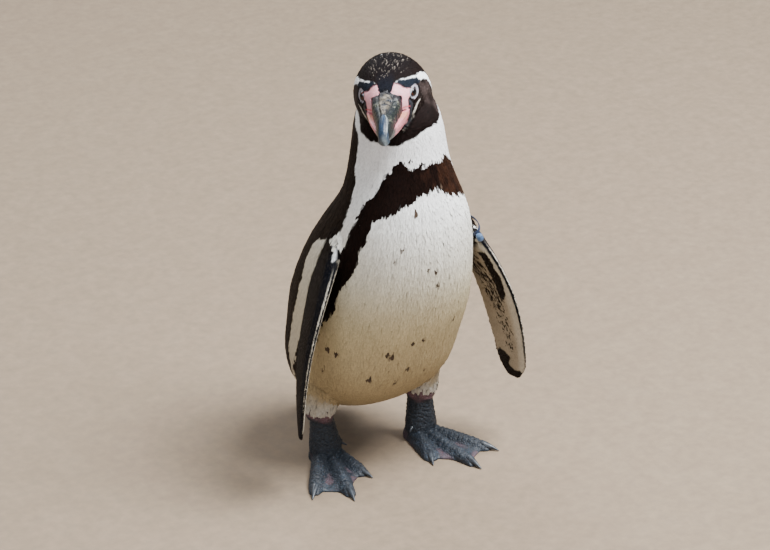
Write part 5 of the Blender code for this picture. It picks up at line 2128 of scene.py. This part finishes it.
@dataclass
class Scales:
    """Small horny plates over the shanks and toes, joined into one piece."""

    bird: BirdFrame
    marks: Markings
    skin: Skin
    spacing: float = 0.0019
    half_length: float = 0.00115
    half_width: float = 0.0013
    rise: float = 0.00035
    above: float = 0.0028  # no plates lower than this
    facing: float = -0.25  # nor where the skin faces further down than this
    candidates: float = 3.0  # tries for each place that is kept
    sides: int = 6

    def roots(self, random: np.random.Generator) -> tuple:
        """Places and normals of the plates on the upper side of the feet.

        Args:
            random: the source of the draws.

        Returns:
            Row-frame places and normals.
        """
        skin = self.skin
        first = skin.triangles[:, 0]
        mine = (skin.regions[first] == Region.FOOT.value) & (skin.places[first, 2] > self.above)
        mine &= skin.normals[first][:, 2] > self.facing
        area = np.where(mine, skin.areas(), 0.0)
        count = int(area.sum() / self.spacing**2 * self.candidates)
        _, _, places, normals = skin.scattered(area, count, random)
        kept = spread_out(places, np.full(count, self.spacing), np.ones(count, bool))
        return places[kept], normals[kept]

    def build(self, finish: bpy.types.Material) -> None:
        """Makes the plates.

        Args:
            finish: the material it gets.
        """
        random = np.random.default_rng(SEED + 1)
        places, normals = self.roots(random)
        points = self.bird.to_bird(places)
        way = np.tile((0.0, 0.0, -1.0), (len(points), 1))
        gap = np.full(len(points), 9.0)
        for pose in FEET:
            mine = points[:, 0] * pose.side > 0
            near, _, toe = pose.read(points[mine])
            gap[mine] = near
            low = smoothstep(2.6, 1.6, points[mine][:, 2])[:, None]
            way[mine] = toe * low + way[mine] * (1 - low)
        way = on_plane(way, normals)
        left = np.cross(normals, way)
        ridge = smoothstep(0.7, 0.25, gap) * smoothstep(0.3, 0.8, points[:, 2])
        grow = random.uniform(0.8, 1.2, len(points)) * (1.0 - 0.25 * smoothstep(0.9, 1.4, gap))
        long_half = self.half_length * grow
        wide_half = self.half_width * grow * (1.0 + 0.5 * ridge)
        colours = self.marks.foot(points, normals) * random.uniform(0.75, 1.4, len(points))[:, None]
        # Each plate is painted lighter in its raised middle as a highlight, and darker towards its
        # rim and underside as shade in the creases between plates.
        rows, turned = [places + normals * self.rise], [normals]
        shades, flat = [colours * 1.25], [(0, 0)]
        for ring, (size, height, shade) in enumerate(((0.68, 0.7, 1.0), (1.0, -0.35, 0.35))):
            for side in range(self.sides):
                angle = 2 * math.pi * (side + 0.5 * ring) / self.sides
                step = way * (math.cos(angle) * size * long_half)[:, None]
                step = step + left * (math.sin(angle) * size * wide_half)[:, None]
                rows.append(places + step + normals * self.rise * height)
                turned.append(unit(normals + 0.7 * size * unit(step)))
                shades.append(colours * shade)
                flat.append((math.cos(angle) * size / 2, math.sin(angle) * size / 2))
        rows.append(places - normals * self.rise)
        turned.append(normals)
        shades.append(colours * 0.3)
        flat.append((0, 0))
        inner, outer, last = 1, 1 + self.sides, 1 + 2 * self.sides
        faces = []
        for side in range(self.sides):
            after = (side + 1) % self.sides
            faces += [
                (0, inner + side, inner + after), (inner + side, outer + side, inner + after),
                (inner + after, outer + side, outer + after), (last, outer + after, outer + side),
            ]
        faces = np.array(faces)
        starts = np.arange(len(places)) * (last + 1)
        triangles = (starts[:, None, None] + faces[None]).reshape(-1, 3)
        obj = mesh_of("foot_scales", np.stack(rows, axis=1).reshape(-1, 3), triangles)
        painted(obj.data, np.clip(np.stack(shades, axis=1).reshape(-1, 3), 0, 1))
        spots = np.zeros((len(places), 2))
        for pose, middle in zip(FEET, (0.26, 0.74)):
            mine = points[:, 0] * pose.side > 0
            local = pose.to_foot(points[mine])
            v = 0.3 - (local[:, 1] - local[:, 2]) / 20
            spots[mine] = np.column_stack((middle + local[:, 0] / 28, v))
        mapped(obj.data, BAKE_MAP, spots[:, None, :] + np.array(flat)[None] * PATCH, triangles)
        obj.data.normals_split_custom_set_from_vertices(np.stack(turned, axis=1).reshape(-1, 3))
        obj.data.materials.append(finish)
        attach(obj, "root")
        LOG.info("foot_scales: %d plates, %d triangles", len(places), len(triangles))


@dataclass
class Claws:
    """The claws: the CAD forms, rounded."""

    levels: int = 3

    def build(self, finish: bpy.types.Material) -> None:
        """Makes one piece for each foot's claws.

        Args:
            finish: the material it gets.
        """
        for side in ("left", "right"):
            names = [f"claw_{side}_{toe}" for toe in ("inner", "middle", "outer", "hind")]
            obj = joined(f"claws_{side}", copies_of(names))
            mended(obj, outwards=False, quads=True)
            modified(obj, "SUBSURF", levels=self.levels, render_levels=self.levels)
            obj.data.materials.clear()
            obj.data.materials.append(finish)
            bpy.ops.object.shade_smooth()
            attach(obj, "root")
            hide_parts(*names)


# ---------------------------------------------------------------- finishes

MIDDLE = (0.3, 0.7)  # the range that a noise texture mostly keeps to


@dataclass
class Graph:
    """A node tree under construction, with short ways to add and join nodes."""

    tree: bpy.types.NodeTree

    def node(self, kind: str, **settings: object) -> bpy.types.Node:
        """Adds a node; settings in small letters are its properties, others its inputs.

        Args:
            kind: the node's type after "ShaderNode".
            settings: values, or output sockets to join on; "_" in an input's name is a space.

        Returns:
            The node.
        """
        made = self.tree.nodes.new("ShaderNode" + kind)
        for name, value in settings.items():
            if name[0].islower():
                setattr(made, name, value)
                continue
            socket = made.inputs[int(name[1:]) if name[1:].isdigit() else name.replace("_", " ")]
            if isinstance(value, bpy.types.NodeSocket):
                self.fed(value, socket)
            else:
                socket.default_value = value
        return made

    def sum(self, operation: str, first: object, second: object) -> bpy.types.NodeSocket:
        """One step of arithmetic."""
        return self.node("Math", operation=operation, I0=first, I1=second).outputs[0]

    def ranged(
        self, value: object, low: float, high: float, to_low: float, to_high: float
    ) -> bpy.types.NodeSocket:
        """Stretches a value from one range to another."""
        ends = {"From_Min": low, "From_Max": high, "To_Min": to_low, "To_Max": to_high}
        return self.node("MapRange", Value=value, **ends).outputs["Result"]

    def mixed(self, share: object, first: object, second: object) -> bpy.types.NodeSocket:
        """Mixes two colours."""
        return self.node("Mix", data_type="RGBA", I0=share, I6=first, I7=second).outputs[2]

    def scaled(self, colour: object, gain: object) -> bpy.types.NodeSocket:
        """Lightens or darkens a colour."""
        return self.node("VectorMath", operation="SCALE", Vector=colour, Scale=gain).outputs[0]

    def fed(self, socket: object, goal: bpy.types.NodeSocket) -> None:
        """Joins an output on an input."""
        self.tree.links.new(socket, goal)


def effect(name: str, inputs: dict, outputs: dict) -> Graph:
    """Starts a shared node group.

    Args:
        name: the group's name.
        inputs: each input's name and default; a tuple makes a vector or colour.
        outputs: each output's name and "Float" or "Color".

    Returns:
        The group's graph, with a group input and output inside.
    """
    tree = bpy.data.node_groups.new(name, "ShaderNodeTree")
    for label, value in inputs.items():
        kind = "Float" if isinstance(value, float) else "Color" if len(value) == 4 else "Vector"
        socket = tree.interface.new_socket(label, in_out="INPUT", socket_type="NodeSocket" + kind)
        socket.default_value = value
    for label, kind in outputs.items():
        tree.interface.new_socket(label, in_out="OUTPUT", socket_type="NodeSocket" + kind)
    tree.nodes.new("NodeGroupInput")
    tree.nodes.new("NodeGroupOutput")
    return Graph(tree)


def placed(graph: Graph, group: Graph, **settings: object) -> bpy.types.Node:
    """Places a shared group in a graph and sets its inputs.

    Args:
        graph: where it is placed.
        group: the shared group.
        settings: values or output sockets for its inputs.

    Returns:
        The group node.
    """
    made = graph.tree.nodes.new("ShaderNodeGroup")
    made.node_tree = group.tree
    for name, value in settings.items():
        if isinstance(value, bpy.types.NodeSocket):
            graph.fed(value, made.inputs[name])
        else:
            made.inputs[name].default_value = value
    return made


@dataclass
class Effects:
    """The node groups that several finishes share."""

    mottle: Graph = None
    pebbles: Graph = None

    def __post_init__(self) -> None:
        """Builds the groups."""
        self.mottle = self.make_mottle()
        self.pebbles = self.make_pebbles()

    def make_mottle(self) -> Graph:
        """Uneven tone over a colour, with the same unevenness as a mask.

        Returns:
            The group.
        """
        graph = effect(
            "mottle",
            {"Place": (0.0,) * 3, "Colour": (0.5, 0.5, 0.5, 1.0), "Scale": 200.0, "Amount": 0.2},
            {"Colour": "Color", "Mask": "Float"},
        )
        start, end = graph.tree.nodes[0].outputs, graph.tree.nodes[1].inputs
        coarse = graph.node(
            "TexNoise", Vector=start["Place"], Scale=start["Scale"], Detail=5.0, Roughness=0.62
        ).outputs["Fac"]
        spread = graph.ranged(coarse, *MIDDLE, -1.0, 1.0)
        gain = graph.sum("ADD", graph.sum("MULTIPLY", spread, start["Amount"]), 1.0)
        graph.fed(graph.scaled(start["Colour"], gain), end["Colour"])
        graph.fed(coarse, end["Mask"])
        return graph

    def make_pebbles(self) -> Graph:
        """Small raised grains with creases between, as a height and a crease mask.

        Returns:
            The group.
        """
        graph = effect(
            "pebbles", {"Place": (0.0,) * 3, "Scale": 700.0, "Fine": 0.3},
            {"Height": "Float", "Crease": "Float"},
        )
        start, end = graph.tree.nodes[0].outputs, graph.tree.nodes[1].inputs
        cells = graph.node(
            "TexVoronoi", feature="DISTANCE_TO_EDGE", Vector=start["Place"], Scale=start["Scale"]
        ).outputs["Distance"]
        dome = graph.ranged(cells, 0.0, 0.35, 0.0, 1.0)
        finer = graph.sum("MULTIPLY", start["Scale"], 2.5)
        grain = graph.node("TexNoise", Vector=start["Place"], Scale=finer, Detail=3.0)
        fine = graph.sum("MULTIPLY", grain.outputs["Fac"], start["Fine"])
        graph.fed(graph.sum("ADD", dome, fine), end["Height"])
        graph.fed(graph.ranged(cells, 0.0, 0.08, 1.0, 0.0), end["Crease"])
        return graph


@dataclass(frozen=True)
class Finish:
    """A material: its name and the values that are the same all over it."""

    name: str
    effects: Effects
    fixed: dict = field(default_factory=dict)

    def start(self) -> tuple:
        """A new material with its graph, shader and places on the object.

        Returns:
            The material, the graph, the shader and the places.
        """
        material = bpy.data.materials.new(self.name)
        material.use_nodes = True
        graph = Graph(material.node_tree)
        shader = material.node_tree.nodes["Principled BSDF"]
        for label, value in self.fixed.items():
            shader.inputs[label].default_value = value
        place = graph.node("TexCoord").outputs["Object"]
        return material, graph, shader, place

    def joined_up(
        self, graph: Graph, shader: bpy.types.Node, colour: object, rough: object,
        height: object, depth: float,
    ) -> None:
        """Feeds the shader: colour, roughness, and a bump of a depth in metres."""
        bump = graph.node("Bump", Strength=1.0, Distance=depth, Height=height).outputs[0]
        for label, value in (("Base Color", colour), ("Roughness", rough), ("Normal", bump)):
            graph.fed(value, shader.inputs[label])


@dataclass(frozen=True)
class PaintedFinish(Finish):
    """A grained surface in the colours painted on its mesh, with painted shade in the creases
    between the grains.
    """

    tone_scale: float = 260.0
    tone: float = 0.15
    grain_scale: float = 900.0
    grain_depth: float = 0.0001
    crease_dark: float = 0.4
    rough: tuple = (0.45, 0.65)

    def material(self) -> bpy.types.Material:
        """Builds the material.

        Returns:
            The material.
        """
        material, graph, shader, place = self.start()
        paint = graph.node("Attribute", attribute_name=PAINT).outputs["Color"]
        mottle = placed(
            graph, self.effects.mottle, Place=place, Colour=paint, Scale=self.tone_scale,
            Amount=self.tone,
        )
        pebbles = placed(graph, self.effects.pebbles, Place=place, Scale=self.grain_scale)
        # The creases between the grains are painted darker, as shade.
        shade = graph.sum("MULTIPLY", pebbles.outputs["Crease"], self.crease_dark)
        colour = graph.mixed(shade, mottle.outputs["Colour"], (0.01, 0.01, 0.012, 1.0))
        rough = graph.ranged(mottle.outputs["Mask"], *MIDDLE, *self.rough)
        self.joined_up(graph, shader, colour, rough, pebbles.outputs["Height"], self.grain_depth)
        return material


@dataclass(frozen=True)
class FeatherFinish(Finish):
    """Feather vanes: the painted colour, with its painted shade and light along each vane, a shaft
    and slanting barbs.
    """

    barbs: float = 16.0
    slant: float = 0.55
    shaft_gain: float = 1.3
    rough: tuple = (0.5, 0.68)
    relief: float = 0.00005

    def material(self) -> bpy.types.Material:
        """Builds the material.

        Returns:
            The material.
        """
        material, graph, shader, place = self.start()
        paint = graph.node("Attribute", attribute_name=PAINT).outputs["Color"]
        vane = graph.node("SeparateXYZ", Vector=graph.node("UVMap", uv_map=VANE_MAP).outputs["UV"])
        aside = graph.sum("ABSOLUTE", graph.sum("SUBTRACT", vane.outputs["X"], 0.5), 0.0)
        along = graph.sum("SUBTRACT", vane.outputs["Y"], graph.sum("MULTIPLY", aside, self.slant))
        barb = graph.sum("SINE", graph.sum("MULTIPLY", along, self.barbs * 2 * math.pi), 0.0)
        shaft = graph.ranged(aside, 0.0, 0.07, 1.0, 0.0)
        mottle = placed(
            graph, self.effects.mottle, Place=place, Colour=paint, Scale=420.0, Amount=0.10
        )
        tone = graph.scaled(mottle.outputs["Colour"], graph.ranged(barb, -1.0, 1.0, 0.93, 1.05))
        lit = graph.scaled(tone, self.shaft_gain)
        colour = graph.mixed(graph.sum("MULTIPLY", shaft, 0.5), tone, lit)
        rough = graph.ranged(mottle.outputs["Mask"], *MIDDLE, *self.rough)
        height = graph.sum("ADD", graph.sum("MULTIPLY", barb, 0.5), shaft)
        self.joined_up(graph, shader, colour, rough, height, self.relief)
        return material


@dataclass(frozen=True)
class EyeFinish(Finish):
    """A wet eye: black pupil, red-brown iris with fine spokes, dark edge."""

    pupil: float = 0.93
    iris: float = 0.72

    def material(self) -> bpy.types.Material:
        """Builds the material; the mesh's paint is 1 where the eye looks.

        Returns:
            The material.
        """
        material, graph, shader, place = self.start()
        paint = graph.node("Attribute", attribute_name=PAINT).outputs["Fac"]
        spokes = graph.node("TexNoise", Vector=place, Scale=2600.0, Detail=2.0).outputs["Fac"]
        spread = graph.sum("MULTIPLY", graph.sum("SUBTRACT", spokes, 0.5), 0.03)
        ramp = graph.node("ValToRGB", Fac=graph.sum("ADD", paint, spread))
        rows = (
            (0.0, (0.01, 0.005, 0.004, 1)),
            (self.iris - 0.06, (0.012, 0.005, 0.004, 1)),
            (self.iris + 0.06, (0.04, 0.010, 0.005, 1)),
            (self.pupil - 0.06, (0.085, 0.018, 0.008, 1)),
            (self.pupil - 0.01, (0.03, 0.009, 0.006, 1)),
            (self.pupil + 0.01, (0.002, 0.002, 0.002, 1)),
        )
        elements = ramp.color_ramp.elements
        for position, _ in rows[2:]:
            elements.new(position)
        for element, (position, colour) in zip(elements, rows):
            element.position, element.color = position, colour
        rough = graph.ranged(spokes, *MIDDLE, 0.04, 0.09)
        self.joined_up(graph, shader, ramp.outputs["Color"], rough, spokes, 0.000004)
        return material


@dataclass(frozen=True)
class MouldedFinish(Finish):
    """A plastic or horn that has worn: two tones, fine scuffs, streaks along one way."""

    base: tuple = (0.1, 0.1, 0.1)
    worn: tuple = (0.2, 0.2, 0.2)
    scale: float = 300.0
    stretch: tuple = (1.0, 1.0, 1.0)
    rough: tuple = (0.25, 0.45)
    depth: float = 0.00003

    def material(self) -> bpy.types.Material:
        """Builds the material.

        Returns:
            The material.
        """
        material, graph, shader, place = self.start()
        stretched = graph.node("Mapping", Vector=place, Scale=self.stretch).outputs[0]
        streaks = graph.node(
            "TexNoise", Vector=stretched, Scale=self.scale, Detail=6.0, Roughness=0.65
        ).outputs["Fac"]
        share = graph.ranged(streaks, 0.42, 0.72, 0.0, 1.0)
        colour = graph.mixed(share, (*self.base, 1.0), (*self.worn, 1.0))
        mottle = placed(
            graph, self.effects.mottle, Place=place, Colour=colour, Scale=self.scale * 3,
            Amount=0.12,
        )
        rough = graph.ranged(mottle.outputs["Mask"], *MIDDLE, *self.rough)
        self.joined_up(graph, shader, mottle.outputs["Colour"], rough, streaks, self.depth)
        return material


# ---------------------------------------------------------------- studio


@dataclass
class Studio:
    """The plain floor, soft lights, and the camera."""

    effects: Effects
    aim: tuple = (-0.01064, -0.02853, 0.212)
    azimuth: float = -33.0
    elevation: float = 26.0
    distance: float = 3.0
    lens: float = 141.7
    sensor: float = 36.0
    floor: float = 14.0
    sky: tuple = (0.93, 0.96, 1.0, 1.0)
    glow: float = 0.5
    lit: tuple = (0.0, 0.0, 0.2)  # what the lights face

    def camera(self) -> None:
        """Sets up the camera on its aim."""
        data = bpy.data.cameras.new("camera")
        data.lens, data.sensor_width = self.lens, self.sensor
        turn, rise = math.radians(self.azimuth), math.radians(self.elevation)
        level = math.cos(rise)
        way = Vector((math.sin(turn) * level, -math.cos(turn) * level, math.sin(rise)))
        camera = bpy.data.objects.new("camera", data)
        camera.location = Vector(self.aim) + way * self.distance
        camera.rotation_euler = way.to_track_quat("Z", "Y").to_euler()
        bpy.context.scene.collection.objects.link(camera)
        bpy.context.scene.camera = camera

    def light(self, name: str, place: tuple, size: float, power: float, colour: tuple) -> None:
        """Adds a large soft light that faces the bird.

        Args:
            name: the light's name.
            place: where it hangs, in metres.
            size: its width in metres.
            power: its power in watts.
            colour: its colour.
        """
        data = bpy.data.lights.new(name, "AREA")
        data.size, data.energy, data.color = size, power, colour
        lamp = bpy.data.objects.new(name, data)
        lamp.location = place
        away = Vector(place) - Vector(self.lit)
        lamp.rotation_euler = away.to_track_quat("Z", "Y").to_euler()
        bpy.context.scene.collection.objects.link(lamp)

    def build(self) -> None:
        """Lays the floor, hangs the lights and sets the sky's soft glow."""
        bpy.ops.object.select_all(action="DESELECT")
        bpy.ops.mesh.primitive_plane_add(size=self.floor, location=(0, 0, 0))
        floor = bpy.context.object
        floor.name = floor.data.name = "floor"
        finish = MouldedFinish(
            "floor_paint", self.effects, base=(0.180, 0.132, 0.088), worn=(0.197, 0.146, 0.099),
            scale=30.0, rough=(0.75, 0.9), depth=0.0002,
        )
        floor.data.materials.append(finish.material())
        self.light("key", (1.0, -1.1, 3.0), 1.6, 460.0, (0.96, 0.98, 1.0))
        self.light("fill", (-2.0, -1.8, 1.6), 2.4, 30.0, (0.95, 0.97, 1.0))
        self.light("rim", (0.3, 2.2, 2.4), 1.8, 60.0, (1.0, 1.0, 1.0))
        world = bpy.data.worlds.new("studio")
        world.use_nodes = True
        sky = world.node_tree.nodes["Background"]
        sky.inputs["Color"].default_value = self.sky
        sky.inputs["Strength"].default_value = self.glow
        bpy.context.scene.world = world
        self.camera()


# ---------------------------------------------------------------- all together


def dress_tag(effects: Effects) -> None:
    """Gives the CAD tag its materials.

    Args:
        effects: the node groups that the finishes share.
    """
    strip = MouldedFinish(
        "tag_strip", effects, base=(0.012, 0.018, 0.045), worn=(0.05, 0.07, 0.12),
        scale=500.0, rough=(0.3, 0.5),
    )
    bead = MouldedFinish(
        "tag_bead", effects, base=(0.03, 0.07, 0.16), worn=(0.09, 0.15, 0.23),
        scale=600.0, rough=(0.2, 0.4),
    )
    for node, finish in (("band_strip", strip), ("band_bead", bead)):
        frame["nodes"][node].material_slots[0].material = finish.material()
        LOG.info("%s dressed", node)


def main() -> None:
    """Builds the bird from the skin outwards."""
    logging.basicConfig(level=logging.INFO, format="%(message)s")
    effects = Effects()
    Studio(effects).build()
    bird = BirdFrame()
    marks = Markings(bird)
    eyes = Eyes(bird)
    skin_finish = PaintedFinish(
        "bird_skin", effects,
        {"Subsurface Weight": 0.12, "Subsurface Scale": 0.002, "Specular IOR Level": 0.4},
        crease_dark=0.2, grain_depth=0.00006,
    ).material()
    foot_finish = PaintedFinish(
        "foot_scale", effects, {"Specular IOR Level": 0.45}, tone=0.3, tone_scale=500.0,
        grain_scale=1500.0, grain_depth=0.00008, rough=(0.42, 0.7),
    ).material()
    horn_finish = PaintedFinish(
        "bill_horn", effects, {"Specular IOR Level": 0.25}, tone=0.22, tone_scale=900.0,
        grain_scale=2600.0, grain_depth=0.00003, crease_dark=0.1, rough=(0.22, 0.4),
    ).material()
    feather_finish = FeatherFinish("feathers", effects, {"Specular IOR Level": 0.06}).material()
    claw_finish = MouldedFinish(
        "claw_horn", effects, base=(0.010, 0.013, 0.018), worn=(0.055, 0.066, 0.08),
        scale=260.0, rough=(0.28, 0.5),
    ).material()
    eye_finish = EyeFinish(
        "wet_eye", effects,
        {"Coat Weight": 0.3, "Coat Roughness": 0.02, "Specular IOR Level": 0.2},
    ).material()

    skin = Skin(bird, marks, eyes)
    skin.build()
    skin.dress(skin_finish)
    LOG.info("skin dressed")
    for side, node in ((1, "eye_left"), (-1, "eye_right")):
        ball = eyes.ball(side)
        ball.data.materials.append(eye_finish)
        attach(ball, "root")
        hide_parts(node)
        LOG.info("%s made", ball.name)
    Bill(bird).build(horn_finish)
    TailFan(bird).build(feather_finish)
    Scales(bird, marks, skin).build(foot_finish)
    Claws().build(claw_finish)
    dress_tag(effects)
    Coat(bird, marks, skin).build(feather_finish)


if __name__ == "__main__":
    main()
